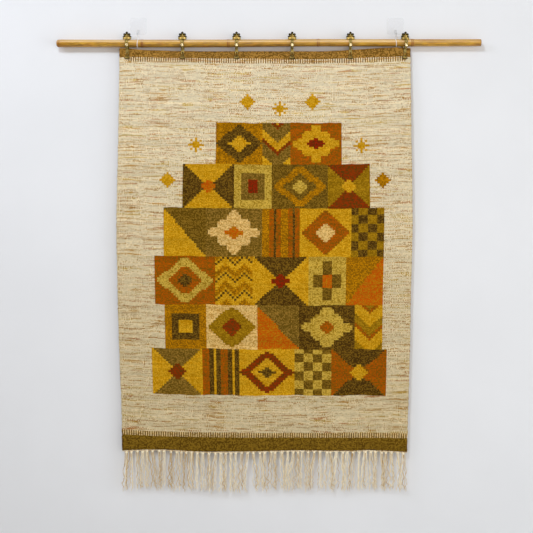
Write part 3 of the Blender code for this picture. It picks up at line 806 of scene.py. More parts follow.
def motif_marks(motif, x, y, i, j):
    """Which of a block's yarns each cell has. x and y run from -1 to 1, and i and j count cells."""
    total, larger, smaller = abs(x) + abs(y), np.maximum(abs(x), abs(y)), np.minimum(abs(x), abs(y))
    rays = (total < 0.98) & (larger < 0.92) & ((larger < 0.56) | (smaller < 0.22))
    forms = {
        "rhomb": [(total < 0.45, 2), (total < 0.98, 1)],
        "diamond": [(total < 0.30, 2), (total < 0.62, 0), (total < 0.98, 1)],
        "hourglass": [(total < 0.34, 2), (abs(x) < abs(y), 1)],
        "butterfly": [(total < 0.34, 2), (abs(x) > abs(y), 1)],
        "star": [(total < 0.34, 2), (rays, 1)],
        "nested": [(larger < 0.30, 2), (larger < 0.62, 1)],
        "cross": [(larger < 0.26, 2), ((smaller < 0.26) & (larger < 0.80), 1)],
        "slope": [(x > y, 1)],
        "rise": [(x > -y, 1)],
        "vees": [((j + abs(i)) % 12 < 4, 1), ((j + abs(i)) % 12 < 6, 2)],
        "checks": [((i // 4 + j // 4) % 2 == 1, 1)],
        "bars": [(i % 8 < 3, 1), (i % 8 == 5, 2)],
        "zigzag": [((j - abs(i % 8 - 4)) % 8 < 3, 1), ((j - abs(i % 8 - 4)) % 8 == 4, 2)],
        "lozenge": [(abs(i) + abs(j) < 4, 1)],
        "small_star": [((i * j == 0) | ((abs(i) == abs(j)) & (abs(i) < 3)), 1)],
    }
    tests, values = zip(*forms[motif])
    return np.select(tests, values, 0)


def design():
    """The yarn of each cell of the field."""
    cells = np.full((CELLS_DOWN, CELLS_ACROSS), YARN_INDEX["cream"])
    for block in BLOCKS:
        i, j = np.meshgrid(np.arange(block.width), np.arange(block.height))
        x = (i + 0.5) / block.width * 2 - 1
        y = (j + 0.5) / block.height * 2 - 1
        marks = motif_marks(block.motif, x, y, i - block.width // 2, j - block.height // 2)
        yarns = np.array([YARN_INDEX[name] for name in (block.ground, block.figure, block.accent)])
        cells[block.top:block.top + block.height, block.left:block.left + block.width] = yarns[marks]
    return cells


def yarn_grid():
    """The yarn of each face of the cloth's grid, from the turned-back edge down."""
    top, upper_comb, _, lower_comb, base = FRONT_ROWS
    odd = np.arange(WARPS) % 2 == 1
    comb = np.where(odd, YARN_INDEX["cream"], YARN_INDEX["top_olive"])
    comb[:PLAIN_COMB_LEFT] = YARN_INDEX["cream"]
    comb[-PLAIN_COMB_RIGHT:] = YARN_INDEX["cream"]
    low_comb = np.where(odd, YARN_INDEX["low_tooth"], YARN_INDEX["base_olive"])
    return np.concatenate([
        np.full((FLAP_ROWS + FOLD_ROWS + top, WARPS), YARN_INDEX["top_olive"]),
        np.tile(comb, (upper_comb, 1)),
        np.repeat(design(), 2, axis=1),
        np.tile(low_comb, (lower_comb, 1)),
        np.full((base, WARPS), YARN_INDEX["base_olive"]),
    ])


def stray_streaks(rows, rng):
    """A colour for each face, in streaks along the rows."""
    colours = np.array([linear(streak.colour) for streak in STREAKS])
    weights = np.array([streak.weight for streak in STREAKS], dtype=float)
    stray = np.zeros((rows, WARPS, 3))
    for row in stray:
        start = 0
        while start < WARPS:
            end = start + int(rng.integers(*STREAK_LENGTHS))
            row[start:end] = colours[rng.choice(len(STREAKS), p=weights / weights.sum())]
            start = end
    return stray


def paint_cloth(rng):
    """Colours of each face's two yarns. Their alphas are the flecks' length and the second yarn's share."""
    yarns = yarn_grid()
    main = np.array([linear(yarn.main) for yarn in YARNS])[yarns]
    second = np.array([linear(yarn.second) for yarn in YARNS])[yarns]
    length = np.array([yarn.length for yarn in YARNS])[yarns][..., None]
    share = np.array([yarn.share for yarn in YARNS])[yarns][..., None]
    plain = (yarns == YARN_INDEX["cream"])[..., None]
    second = np.where(plain, stray_streaks(len(yarns), rng), second)
    by_row = ROW_TONES * np.clip(rng.normal(size=(len(yarns), 1)), -2, 2)
    tone = 1 + by_row + rng.normal(0, FACE_TONES, yarns.shape)
    tan_share = plain * curve(CREAM_DARKENING, np.linspace(0, 1, len(yarns)))[:, None, None]
    main = main * tone[..., None] * (1 - tan_share * MAIN_LOSS)
    second = second * tone[..., None] * (1 - tan_share * SECOND_LOSS)
    return np.concatenate([main, length], axis=2), np.concatenate([second, share], axis=2)


# Fringe

FRINGE_SEED = 23
KNOTS = 51
FRINGE_INSET = 0.002
STRAND_COUNTS = (6, 7, 8)
CLUMP_COUNTS = (3, 3, 4, 5)
CLUMP_REACH = 0.0100
KNOT_WIDTH = 0.0030
KNOT_YARN = 0.0014
KNOT_SLANT = -0.55
KNOT_TURN = 0.3
KNOT_SHIFT = 0.2
KNOT_PROUD = 0.0020
KNOT_DROP = 0.0046
KNOT_DROPS = (-0.0008, 0.0018)
# Below zero, so the knots are painted lighter than their strands as a highlight
KNOT_HIGHLIGHT_TONES = (-0.5, -0.2)
FRINGE_DROP = 0.117
STRAND_RADIUS = 0.00088
STRAND_THICKNESSES = (0.8, 1.15)
STRAND_RINGS = 26
# How much of its way to the knot's middle a yarn is drawn in, and how far behind the knot it starts
DRAWN_IN = (0.25, 0.75)
STARTS_BEHIND = (0.0006, 0.0026)
CURLY_SHARE = 0.4
STRAY_SHARE = 0.12
STRAY_SPREAD = 0.0090
END_SPREAD = 0.0012
OVERHAND_STEPS = 30
BUNDLE_SWAY = 0.0026
BUNDLE_LEAN = (-0.002, 0.003)
BUNDLE_TONES = (0.06, 0.50)
STRAND_TONE_SPREAD = 0.36
DROP_SPREAD = 0.0040
# How many waves a yarn has, between which lengths and between which depths
Bends = namedtuple("Bends", "count shortest longest least most")
CLUMP_WAVES = Bends(3, 0.016, 0.050, 0.0005, 0.0021)
KINKS = Bends(2, 0.008, 0.016, 0.0004, 0.0012)
EDGE_CORD_TURN = 0.0088
EDGE_CORD_DROP = 0.0014
EDGE_CORD_PLY = 0.0007


def overhand(shape, centre, size, thickness, tone, tilt):
    """A small overhand knot: a yarn bundle that crosses itself three times."""
    path = []
    for t in turns(OVERHAND_STEPS):
        x = (math.sin(t) + 2 * math.sin(2 * t)) / 3
        z = (math.cos(t) - 2 * math.cos(2 * t)) / 3 * 0.72
        y = -math.sin(3 * t) * 0.42
        path.append(centre + Matrix.Rotation(tilt, 3, "Y") @ Vector((x, y, z)) * size)
    tube(shape, path, thickness, 6, tone=tone, closed=True)


def edge_cord(shape, bottom):
    """Two yarns twined round each other along the cloth's foot, above the knots."""
    path = smooth_path([Vector(p) - Vector((0.0, 0.0003, EDGE_CORD_DROP)) for p in bottom[::3]], 8)
    for ply in (0, 1):
        wound = []
        for point in path:
            turn = 2 * math.pi * (point.x / EDGE_CORD_TURN + ply / 2)
            wound.append(point + Vector((0.0, math.cos(turn), math.sin(turn))) * EDGE_CORD_PLY)
        tube(shape, wound, EDGE_CORD_PLY, 5, tone=0.2 + 0.5 * ply)


def drawn_waves(rng, bends):
    """(length, turn, depth) rows, each for a sine wave along a yarn."""
    return [
        (
            rng.uniform(bends.shortest, bends.longest),
            rng.uniform(0, 2 * math.pi),
            rng.uniform(bends.least, bends.most),
        )
        for _ in range(bends.count)
    ]


def swing(waves, fallen):
    """How far the waves carry a yarn aside at a distance below its knot."""
    return sum(depth * math.sin(2 * math.pi * fallen / width + turn) for width, turn, depth in waves)


def strand_path(rng, start, end_x, waves, lean, drop):
    """A hanging yarn: it waves as its clump does, and kinks or curls in its lower third."""
    kinks = drawn_waves(rng, KINKS)
    curl = rng.uniform(0.0016, 0.0034) if rng.random() < CURLY_SHARE else 0.0
    curl_width = rng.uniform(0.011, 0.018)
    path = []
    for k in range(STRAND_RINGS + 1):
        share = k / STRAND_RINGS
        fallen = drop * share
        loose = min(share * 5, 1.0)
        low = float(ease((share - 0.55) * 3))
        deep = swing([(width, 2 * turn + math.pi / 2, depth) for width, turn, depth in waves], fallen)
        turn = 2 * math.pi * fallen / curl_width
        x = start.x + (end_x - start.x) * float(ease(share * 1.6))
        x += swing(waves, fallen) * loose * (0.4 + 0.6 * share)
        x += swing(kinks, fallen) * (0.2 + low) * loose + curl * low * math.cos(turn)
        y = start.y + lean * share**2 + deep * loose * (0.4 + 0.5 * share)
        path.append(Vector((x, y, start.z - fallen + curl * low * math.sin(turn))))
    return path


def fray(shape, rng, end, tone):
    """Loose plies at the end of a yarn."""
    for _ in range(2):
        away = Vector((rng.uniform(-0.0022, 0.0022), rng.uniform(-0.0012, 0.0012), 0.0))
        bend = Vector((rng.uniform(-0.0014, 0.0014), rng.uniform(-0.0008, 0.0008), 0.0))
        fall = rng.uniform(0.003, 0.009)
        path = [
            end + away * s**1.2 + bend * math.sin(3 * s) - Vector((0, 0, fall * s))
            for s in (0, 0.35, 0.7, 1)
        ]
        tube(shape, path, lambda s: 0.00040 * (1 - 0.6 * s), 3, tone=tone)


def build_fringe(bottom, material):
    """The warp ends: each group leaves the cloth's edge, is knotted and hangs loose."""
    rng = random.Random(FRINGE_SEED)
    shape = Shape()
    edge_cord(shape, bottom)
    edge_x, edge_y, edge_z = bottom[:, 0], bottom[:, 1], bottom[:, 2]
    left, right = edge_x[0] + FRINGE_INSET, edge_x[-1] - FRINGE_INSET
    pitch = (right - left) / KNOTS
    for knot in range(KNOTS):
        middle = left + pitch * (knot + 0.5 + rng.uniform(-KNOT_SHIFT, KNOT_SHIFT))
        y, z = np.interp(middle, edge_x, edge_y), np.interp(middle, edge_x, edge_z)
        centre = Vector((middle, y - KNOT_PROUD, z - KNOT_DROP - rng.uniform(*KNOT_DROPS)))
        slant = KNOT_SLANT + rng.uniform(-KNOT_TURN, KNOT_TURN)
        overhand(shape, centre, KNOT_WIDTH, KNOT_YARN, rng.uniform(*KNOT_HIGHLIGHT_TONES), slant)
        count = rng.choice(STRAND_COUNTS)
        sway = rng.gauss(0, BUNDLE_SWAY)
        lean = rng.uniform(*BUNDLE_LEAN)
        bundle_tone = rng.uniform(*BUNDLE_TONES)
        clumps = []
        for _ in range(rng.choice(CLUMP_COUNTS)):
            clump_x = middle + sway + rng.uniform(-CLUMP_REACH, CLUMP_REACH)
            clumps.append((clump_x, drawn_waves(rng, CLUMP_WAVES)))
        clumps.sort()
        for k in range(count):
            offset = k - (count - 1) / 2
            tone = min(max(bundle_tone + rng.gauss(0, STRAND_TONE_SPREAD), -0.1), 1.1)
            x = middle + offset * pitch / count
            y, z = np.interp(x, edge_x, edge_y), np.interp(x, edge_x, edge_z)
            root = Vector((x, y, z + 0.0015))
            drawn_in = x + (middle - x) * rng.uniform(*DRAWN_IN)
            start = Vector((drawn_in, centre.y + rng.uniform(*STARTS_BEHIND), centre.z))
            stub = smooth_path([root, root.lerp(start, 0.55) - Vector((0, 0.0004, 0.0005)), start], 3)
            tube(shape, stub, STRAND_RADIUS, 5, tone=tone)
            clump_x, waves = clumps[min(int(k * len(clumps) / count), len(clumps) - 1)]
            end_x = clump_x + rng.gauss(0, STRAY_SPREAD if rng.random() < STRAY_SHARE else END_SPREAD)
            drop = FRINGE_DROP - KNOT_DROP - 0.004 + rng.gauss(0, DROP_SPREAD)
            path = strand_path(rng, start, end_x, waves, lean, drop)
            thick = STRAND_RADIUS * rng.uniform(*STRAND_THICKNESSES)
            tube(shape, path, lambda s: thick * (1 - 0.2 * s), 5, tone=tone)
            fray(shape, rng, path[-1], tone)
    return shape.piece("knotted_fringe", material)


# Rod

ROD_SIDES = 40
# A joint from left to right, as (place, rise above the cane, dark tone)
JOINT_RINGS = (
    (-0.0100, 0.0000, 0.00), (-0.0052, 0.0001, 0.15), (-0.0040, 0.0003, 0.30),
    (-0.0030, 0.0008, 0.70), (-0.0020, 0.0004, 1.00), (-0.0008, 0.0003, 1.00),
    (-0.0002, 0.0006, 0.30), (0.0012, 0.0007, 0.25), (0.0019, 0.0003, 1.00),
    (0.0030, 0.0003, 1.00), (0.0038, 0.0002, 0.30), (0.0055, 0.0001, 0.10),
    (0.0100, 0.0000, 0.00),
)

# The cane's ends, as (how far in from the end, radius, dark tone)
LEFT_END = (
    (0.0000, 0.0004, 0.55), (0.0002, 0.0052, 0.50), (0.0008, 0.0078, 0.40), (0.0020, 0.0098, 0.35),
    (0.0040, 0.0110, 0.35), (0.0065, 0.0117, 0.55), (0.0080, 0.0114, 0.95), (0.0095, 0.0118, 0.55),
)
RIGHT_END = (
    (0.0060, 0.0110, 0.00), (0.0014, 0.0110, 0.20), (0.0004, 0.0107, 0.60), (0.0000, 0.0062, 0.55),
    (0.0000, 0.0100, 0.75), (0.0004, 0.0042, 0.70), (0.0030, 0.0036, 0.95), (0.0034, 0.0004, 1.00),
)

# The rings of the worn binding at the left end
BINDING_TURNS = 5
BINDING_START = 0.0110
BINDING_PITCH = 0.0040

# The plain cane's rings, and how far in from its two ends they start and stop
RING_STEP = 0.012
PLAIN_START = 0.040
PLAIN_STOP = 0.010


def rod_profile():
    """(x, radius, ring) rows from left to right. ring is how much of a joint's dark colour there is."""
    half = ROD_LENGTH / 2
    joints = [x for x, _ in CANE_LINE[1:-1]]
    rows = [(-half + inward, radius, ring) for inward, radius, ring in LEFT_END]
    for k in range(BINDING_TURNS):
        x = -half + BINDING_START + BINDING_PITCH * k
        rows += [(x, 0.0121, 0.12), (x + 0.0014, 0.0120, 0.62 - 0.10 * k), (x + 0.0028, 0.0121, 0.10)]
    for x in np.arange(-half + PLAIN_START, half - PLAIN_STOP, RING_STEP):
        if min(abs(x - joint) for joint in joints) > RING_STEP:
            rows.append((x, rod_radius(x), 0.0))
    for joint in joints:
        rows += [(joint + away, rod_radius(joint) + rise, ring) for away, rise, ring in JOINT_RINGS]
    return sorted(rows) + [(half - inward, radius, ring) for inward, radius, ring in RIGHT_END]


def build_rod(material):
    shape = Shape()
    profile = rod_profile()
    rows = []
    for x, radius, _ in profile:
        rise = rod_rise(x)
        row = []
        for turn in turns(ROD_SIDES):
            dent = 0.00012 * math.sin(2 * turn + x * 9) + 0.00008 * math.sin(3 * turn - x * 23)
            size = radius + dent * min(radius / 0.01, 1.0)
            row.append(Vector((x, -ROD_OFFSET + size * math.cos(turn), rise + size * math.sin(turn))))
        rows.append(row)
    shape.grid(rows, wrap=True, caps=(True, True), tone=lambda r, c: profile[r][2])
    return shape.piece("cane_rod", material)


# Clips

JAW_Y = HEM_HALF_DEPTH + CLEARANCE
BARREL_RADIUS = 0.0026
BARREL_HALF_LENGTH = 0.0115
PIN_RADIUS = 0.0013
COIL_HALF_LENGTH = 0.0085
WIRE_RADIUS = 0.00048
COIL_TURNS = 9
HINGE_Y = BARREL_RADIUS + CLEARANCE
Section = namedtuple("Section", "y z half_width half_thickness")
CAST = 0.0012
SPRUNG = 0.0009
FRONT_LEG = [Section(*row) for row in (
    (-HINGE_Y - CAST, 0.0205, 0.0050, CAST),
    (-HINGE_Y - CAST, 0.0150, 0.0050, CAST),
    (-0.0104, 0.0118, 0.0046, CAST),
    (-0.0142, 0.0062, 0.0045, CAST),
    (-0.0155, 0.0000, 0.0047, CAST),
    (-0.0138, -0.0078, 0.0046, CAST),
    (-0.0092, -0.0150, 0.0044, CAST),
    (-JAW_Y - 0.0024, -0.0205, 0.0044, CAST),
    (-JAW_Y - CAST, -0.0270, 0.0046, CAST),
    (-JAW_Y - CAST, -0.0420, 0.0040, CAST),
)]
# Painted shade on the front leg: the share of its wear that it keeps, by the number of the point along its
# path
LEG_PAINTED_SHADE = ((0, 0.70), (16, 0.70), (26, 0.85), (45, 0.85))
BACK_LEG = [Section(*row) for row in (
    (0.0076, 0.0290, 0.0046, SPRUNG),
    (HINGE_Y + SPRUNG, 0.0195, 0.0050, SPRUNG),
    (HINGE_Y + SPRUNG, 0.0150, 0.0050, SPRUNG),
    (0.0108, 0.0112, 0.0038, SPRUNG),
    (0.0152, 0.0000, 0.0038, SPRUNG),
    (0.0104, -0.0128, 0.0038, SPRUNG),
    (JAW_Y + 0.0020, -0.0205, 0.0044, SPRUNG),
    (JAW_Y + SPRUNG, -0.0270, 0.0054, SPRUNG),
    (JAW_Y + SPRUNG, -0.0500, 0.0090, SPRUNG),
)]
# Fans of petals. wear gives how bright the brass is worn, from a fan's hub, 0, to its rim, 1; in the crown
# it also holds painted shade at the rim
Fan = namedtuple("Fan", "petals spread bell middle side notch rise y z lean flip wear")
# The crown's rim is painted dark as shade, where the petal tips lean forward and face down; nearer the hub
# the brass is worn bright
CROWN_WEAR_AND_SHADE = ((0.0, 0.65), (0.45, 0.54), (0.64, 0.38), (0.78, 0.18), (1.0, 0.08))
LEAF_WEAR = ((0.0, 0.40), (0.5, 0.60), (1.0, 0.45))
FOOT_WEAR = ((0.0, 0.90), (0.40, 0.66), (0.62, 0.50), (0.88, 0.54), (1.0, 0.05))
CROWN = Fan(5, 96.0, 0.0, 0.0188, 0.0122, 0.29, 0.0019, -0.0046, 0.0162, 16.0, False, CROWN_WEAR_AND_SHADE)
CALYX = Fan(3, 24.0, 0.0, 0.0140, 0.0140, 0.16, 0.0010, -0.0166, -0.0027, -22.0, False, LEAF_WEAR)
SHEATH = Fan(3, 24.0, 0.0, 0.0120, 0.0110, 0.20, 0.0010, -0.0146, -0.0097, 32.0, True, LEAF_WEAR)
FOOT = Fan(5, 24.0, 0.6, 0.0245, 0.0235, 0.10, 0.0015, -JAW_Y - 0.0014, -0.0260, 0.0, True, FOOT_WEAR)
FANS = (CROWN, CALYX, SHEATH, FOOT)
PLATE_HALF_THICKNESS = 0.0008
PETAL_COLUMNS = 10
FAN_RINGS = 14
# Where the petals leave a fan's hub, as a share of their reach
HUB = 0.06
# A petal's relief, in shares of its rise, and where it lies across and along the petal
BODY_RISE = 0.65
MIDRIB_RISE = 0.45
MIDRIB_WIDTH = 0.20
PANEL_SINK = 0.30
PANEL_PLACE = 0.48
PANEL_WIDTH = 0.20
RIM_START = 0.72
BOSS = Vector((0.0, -0.0152, -0.0084))
BOSS_RADIUS = 0.0047
BOSS_DEPTH = 0.36
BOSS_LEAN = 9.0
DOME = 2.4
COLLAR = Vector((0.0, -0.0078, 0.0137))
COLLAR_RADIUS = 0.0037
COLLAR_DEPTH = 0.6
COLLAR_HALF_LENGTH = 0.0128
COLLAR_ROWS = 61
COLLAR_SIDES = 16
HOOP_STEPS = 28
COLLAR_SWELL = (
    (0.0, 0.84), (0.16, 0.96), (0.28, 0.86), (0.44, 1.06),
    (0.62, 0.96), (0.80, 0.82), (0.93, 0.95), (1.0, 0.60),
)


def sweep(shape, sections, outline, steps, tone):
    """A bar along sections in the y-z plane. outline's corners are shares of the half sizes."""
    path = smooth_path([(0.0, s.y, s.z) for s in sections], steps)
    places = np.linspace(0, len(sections) - 1, len(path))
    widths = curve(list(enumerate(s.half_width for s in sections)), places)
    depths = curve(list(enumerate(s.half_thickness for s in sections)), places)
    rows = []
    for i, point in enumerate(path):
        run = (path[min(i + 1, len(path) - 1)] - path[max(i - 1, 0)]).normalized()
        out = Vector((0.0, run.z, -run.y))
        rows.append([point + Vector((a * widths[i], 0.0, 0.0)) + out * (b * depths[i]) for a, b in outline])
    shape.grid(rows, wrap=True, caps=(True, True), tone=tone)


def reeded_outline():
    """Corners of a bar with three reeds on its front, and the wear at each."""
    corners, wear = [], []
    for k in range(13):
        a = 1 - k / 6
        reed = abs(math.cos(1.5 * math.pi * a))
        corners.append((a, (0.35 + 0.65 * reed) * (1 - 0.35 * a * a)))
        wear.append(0.16 + 0.64 * reed)
    for a in (-1.0, -0.5, 0.5, 1.0):
        corners.append((a, -1.0 if abs(a) < 1 else -0.6))
        wear.append(0.25)
    return corners, wear


def build_fan(fan):
    """Petals spread about +z round the origin, each with a midrib, two sunk panels and a rolled rim."""
    shape = Shape()
    segments = fan.petals * PETAL_COLUMNS
    shares = [2 * k / segments - 1 for k in range(segments + 1)]
    rows, wear = [], []
    for ring in range(FAN_RINGS + 1):
        s = HUB + (1 - HUB) * ring / FAN_RINGS
        worn = float(curve(fan.wear, s))
        row, marks = [], []
        for k, share in enumerate(shares):
            q = 2 * (k / PETAL_COLUMNS % 1.0) - 1 if k < segments else 1.0
            angle = math.radians(fan.spread) * share * (1 - fan.bell * (1 - s))
            reach = fan.middle + (fan.side - fan.middle) * abs(share)
            reach *= 1 - fan.notch * abs(q) ** 3.0
            rolled = max((s - RIM_START) / (1 - RIM_START), 0)
            body = (1 - abs(q) ** 2.5) * math.sqrt(max(1 - rolled**2, 0.0))
            rib = math.exp(-((q / MIDRIB_WIDTH) ** 2)) * (1 - 0.55 * s)
            panel = float(ease((s - 0.30) / 0.25)) * math.exp(-(((abs(q) - PANEL_PLACE) / PANEL_WIDTH) ** 2))
            relief = BODY_RISE * body * (0.5 + 0.5 * s) + MIDRIB_RISE * rib - PANEL_SINK * panel * body
            out = Vector((math.sin(angle), 0.0, math.cos(angle))) * (reach * s)
            row.append(out + Vector((0.0, -PLATE_HALF_THICKNESS - fan.rise * relief, 0.0)))
            marks.append(worn * (1.1 + 0.4 * rib - 0.5 * panel - 0.5 * abs(q) ** 6))
        rows.append(row)
        wear.append(marks)
    back = [[Vector((p.x, PLATE_HALF_THICKNESS, p.z)) for p in rows[i]] for i in (-1, 5, 0)]
    wear += [[0.2] * len(shares)] * 3
    shape.grid(rows + back, close=True, tone=lambda r, c: wear[r][c])
    count = len(rows) + len(back)
    across = len(shares)
    shape.faces.append([r * across for r in range(count)])
    shape.faces.append([r * across + across - 1 for r in reversed(range(count))])
    return shape


def fan_place(fan):
    lean = Matrix.Rotation(math.radians(fan.lean), 4, "X")
    flip = Matrix.Rotation(math.pi if fan.flip else 0.0, 4, "Y")
    return Matrix.Translation((0.0, fan.y, fan.z)) @ lean @ flip


def button(shape, centre, radius, depth, lean, tone, rings=10, sides=24):
    """A low round dome that faces -y, turned about x by lean degrees."""
    turned = Matrix.Rotation(math.radians(lean), 3, "X")
    rows = []
    for r in range(1, rings + 1):
        share = r / rings
        size = radius * share
        out = -radius * depth * (1 - share**DOME) ** (1 / DOME)
        rows.append([centre + turned @ Vector((size * cos, out, size * sin)) for cos, sin in circle(sides)])
    shape.grid(rows, wrap=True, caps=(True, False), tone=tone)


def hoop(shape, centre, radius, thickness, tone):
    """A ring that faces -y."""
    path = [centre + Vector((radius * cos, 0.0, radius * sin)) for cos, sin in circle(HOOP_STEPS)]
    tube(shape, path, thickness, 8, tone=tone, closed=True)


def build_collar(shape):
    """The cast band under the crown, swollen to a scroll at each side of the leg."""
    half_swell = [(-away, swell) for away, swell in COLLAR_SWELL[:0:-1]]
    rows, wear = [], []
    for share in np.linspace(-1, 1, COLLAR_ROWS):
        swell = float(curve(half_swell + list(COLLAR_SWELL), share))
        row = []
        for turn in turns(COLLAR_SIDES):
            size = COLLAR_RADIUS * swell * (1 + 0.07 * math.cos(4 * turn + share * 26))
            out = -size * COLLAR_DEPTH * math.cos(turn)
            row.append(COLLAR + Vector((share * COLLAR_HALF_LENGTH, out, size * math.sin(turn))))
        rows.append(row)
        wear.append(min(max(1.6 * swell - 0.9, 0.1), 0.72))
    shape.grid(rows, wrap=True, caps=(True, True), tone=lambda r, c: wear[r])


def front_clip_shape():
    shape = Shape()
    corners, wear = reeded_outline()
    # The front leg's wear, times painted shade along it
    sweep(shape, FRONT_LEG, corners, 5, tone=lambda r, c: wear[c] * float(curve(LEG_PAINTED_SHADE, r)))
    for fan in FANS:
        shape.moved(fan_place(fan), build_fan(fan))
    build_collar(shape)
    button(shape, BOSS, BOSS_RADIUS, BOSS_DEPTH, BOSS_LEAN, tone=1.5)
    hoop(shape, BOSS, BOSS_RADIUS, 0.0006, tone=0.35)
    for side in (-1, 1):
        lug = [(side * 0.0100, -HINGE_Y - CAST, 0.0175), (side * 0.0100, 0.0, 0.0150)]
        tube(shape, smooth_path(lug, 4), 0.0021, 10, tone=0.4, flat=0.45)
    return shape


BACK_OUTLINE = (
    (1.0, 0.5), (0.85, 1.0), (0.0, 1.15), (-0.85, 1.0), (-1.0, 0.5),
    (-1.0, -0.5), (-0.85, -1.0), (0.85, -1.0), (1.0, -0.5),
)


def back_clip_shape():
    """The plain back leg, with a thumb bar at its top and a jaw bar at its foot."""
    shape = Shape()
    sweep(shape, BACK_LEG, BACK_OUTLINE, 6, tone=0.55)
    for half, y, z, radius, tone in (
        (0.0050, 0.0080, 0.0296, 0.0012, 0.7),
        (0.0092, JAW_Y + SPRUNG, -0.0500, 0.0010, 0.6),
    ):
        tube(shape, [Vector((-half, y, z)), Vector((half, y, z))], radius, 10, tone=tone)
    return shape


# The pin's end, as (how far past the barrel's end, radius) from its shaft outwards
PEENED_END = ((-0.0009, PIN_RADIUS), (-0.0006, 0.0018), (0.0, 0.0017), (0.0003, 0.0006))
COIL_STEPS = 16
PIN_SIDES = 14


def spring_shape(x):
    """A pin with peened ends and a wire spring round it, whose tails press on the two legs."""
    shape = Shape()
    height = rod_rise(x) + rod_radius(x) + CLEARANCE + BARREL_RADIUS
    half_pin = [(BARREL_HALF_LENGTH + past, radius) for past, radius in PEENED_END]
    pin = [
        [Vector((along, radius * cos, height + radius * sin)) for cos, sin in circle(PIN_SIDES)]
        for along, radius in [(-along, radius) for along, radius in half_pin[::-1]] + half_pin
    ]
    shape.grid(pin, wrap=True, caps=(True, True), tone=0.7)
    coil = BARREL_RADIUS - WIRE_RADIUS
    path = [Vector((-COIL_HALF_LENGTH, -coil, height + 0.0070))]
    for k in range(COIL_TURNS * COIL_STEPS + 1):
        turn = math.pi - 2 * math.pi * k / COIL_STEPS
        along = -COIL_HALF_LENGTH + 2 * COIL_HALF_LENGTH * k / (COIL_TURNS * COIL_STEPS)
        path.append(Vector((along, coil * math.cos(turn), height + coil * math.sin(turn))))
    path.append(Vector((COIL_HALF_LENGTH, coil * 1.1, height + 0.0075)))
    tube(shape, path, WIRE_RADIUS, 6, tone=0.6)
    return shape


def build_clips():
    front, back = front_clip_shape(), back_clip_shape()
    brass = brass_material("brass", (222, 195, 116), (46, 38, 14), 0.27)
    spring_brass = brass_material("spring_brass", (196, 176, 120), (60, 52, 28), 0.30)
    found = []
    for number, clip in enumerate(CLIPS, start=1):
        turned = Matrix.Rotation(math.radians(clip.turn), 4, "Z")
        place = Matrix.Translation((clip.x, -ROD_OFFSET, 0.0)) @ turned
        for part, source in (("front", front), ("back", back), ("spring", spring_shape(clip.x))):
            shape = Shape()
            shape.moved(place, source)
            finish = spring_brass if part == "spring" else brass
            piece = shape.piece(f"brass_clip_{number}_{part}", finish)
            declare(piece, "brass", f"clip_{number}_{part}")
            found.append(piece)
    return found


# Hooks and threads

HANG_X = (-0.407, 0.395)
PAD_SIZE = 0.0525
PAD_BOTTOM = 0.0315
PAD_CORNER = 0.0070
THREAD_RADIUS = 0.0010
THREAD_LAY = 0.0045
HOOK_HALF_WIDTH = 0.0026
HOOK_HALF_THICKNESS = 0.0013
HOOK_SEAT = 0.0215
HOOK_SIDES = 14
HOOK_ARM = [Section(*row) for row in (
    (-0.0017, 0.0460, 0.0050, 0.0010),
    (-0.0046, 0.0400, 0.0046, HOOK_HALF_THICKNESS),
    (-0.0110, 0.0290, 0.0034, HOOK_HALF_THICKNESS),
    (-0.0150, 0.0236, HOOK_HALF_WIDTH, HOOK_HALF_THICKNESS),
    (-ROD_OFFSET + 0.0026, HOOK_SEAT, HOOK_HALF_WIDTH, HOOK_HALF_THICKNESS),
    (-ROD_OFFSET - 0.0022, HOOK_SEAT, HOOK_HALF_WIDTH, HOOK_HALF_THICKNESS),
    (-0.0280, 0.0245, HOOK_HALF_WIDTH, HOOK_HALF_THICKNESS),
    (-0.0292, 0.0310, 0.0022, 0.0011),
)]


def pad_outline(inset):
    """Points round a square with round corners, in the x-z plane about its middle."""
    corner = PAD_CORNER - inset
    straight = PAD_SIZE / 2 - PAD_CORNER
    return [
        (sx * straight + corner * math.cos(turn), sz * straight + corner * math.sin(turn))
        for quarter, (sx, sz) in enumerate(((1, 1), (-1, 1), (-1, -1), (1, -1)))
        for turn in math.pi / 2 * np.linspace(quarter, quarter + 1, 9)
    ]


# The pad from the wall outwards, as (y, how far its outline stands in)
PAD_LAYERS = (
    (0.0, 0.0008), (-0.0002, 0.0002), (-0.0009, 0.0),
    (-0.0014, 0.0002), (-0.0019, 0.0010), (-0.0020, 0.0018),
)


def build_hook(name, x, material):
    shape = Shape()
    middle = PAD_BOTTOM + PAD_SIZE / 2
    rows = [
        [Vector((x + px, y, middle + pz)) for px, pz in pad_outline(inset)]
        for y, inset in PAD_LAYERS
    ]
    shape.grid(rows, wrap=True, caps=(True, True))
    arm = Shape()
    sweep(arm, HOOK_ARM, circle(HOOK_SIDES), 5, tone=0.5)
    shape.moved(Matrix.Translation((x, 0.0, 0.0)), arm)
    return shape.piece(name, material)


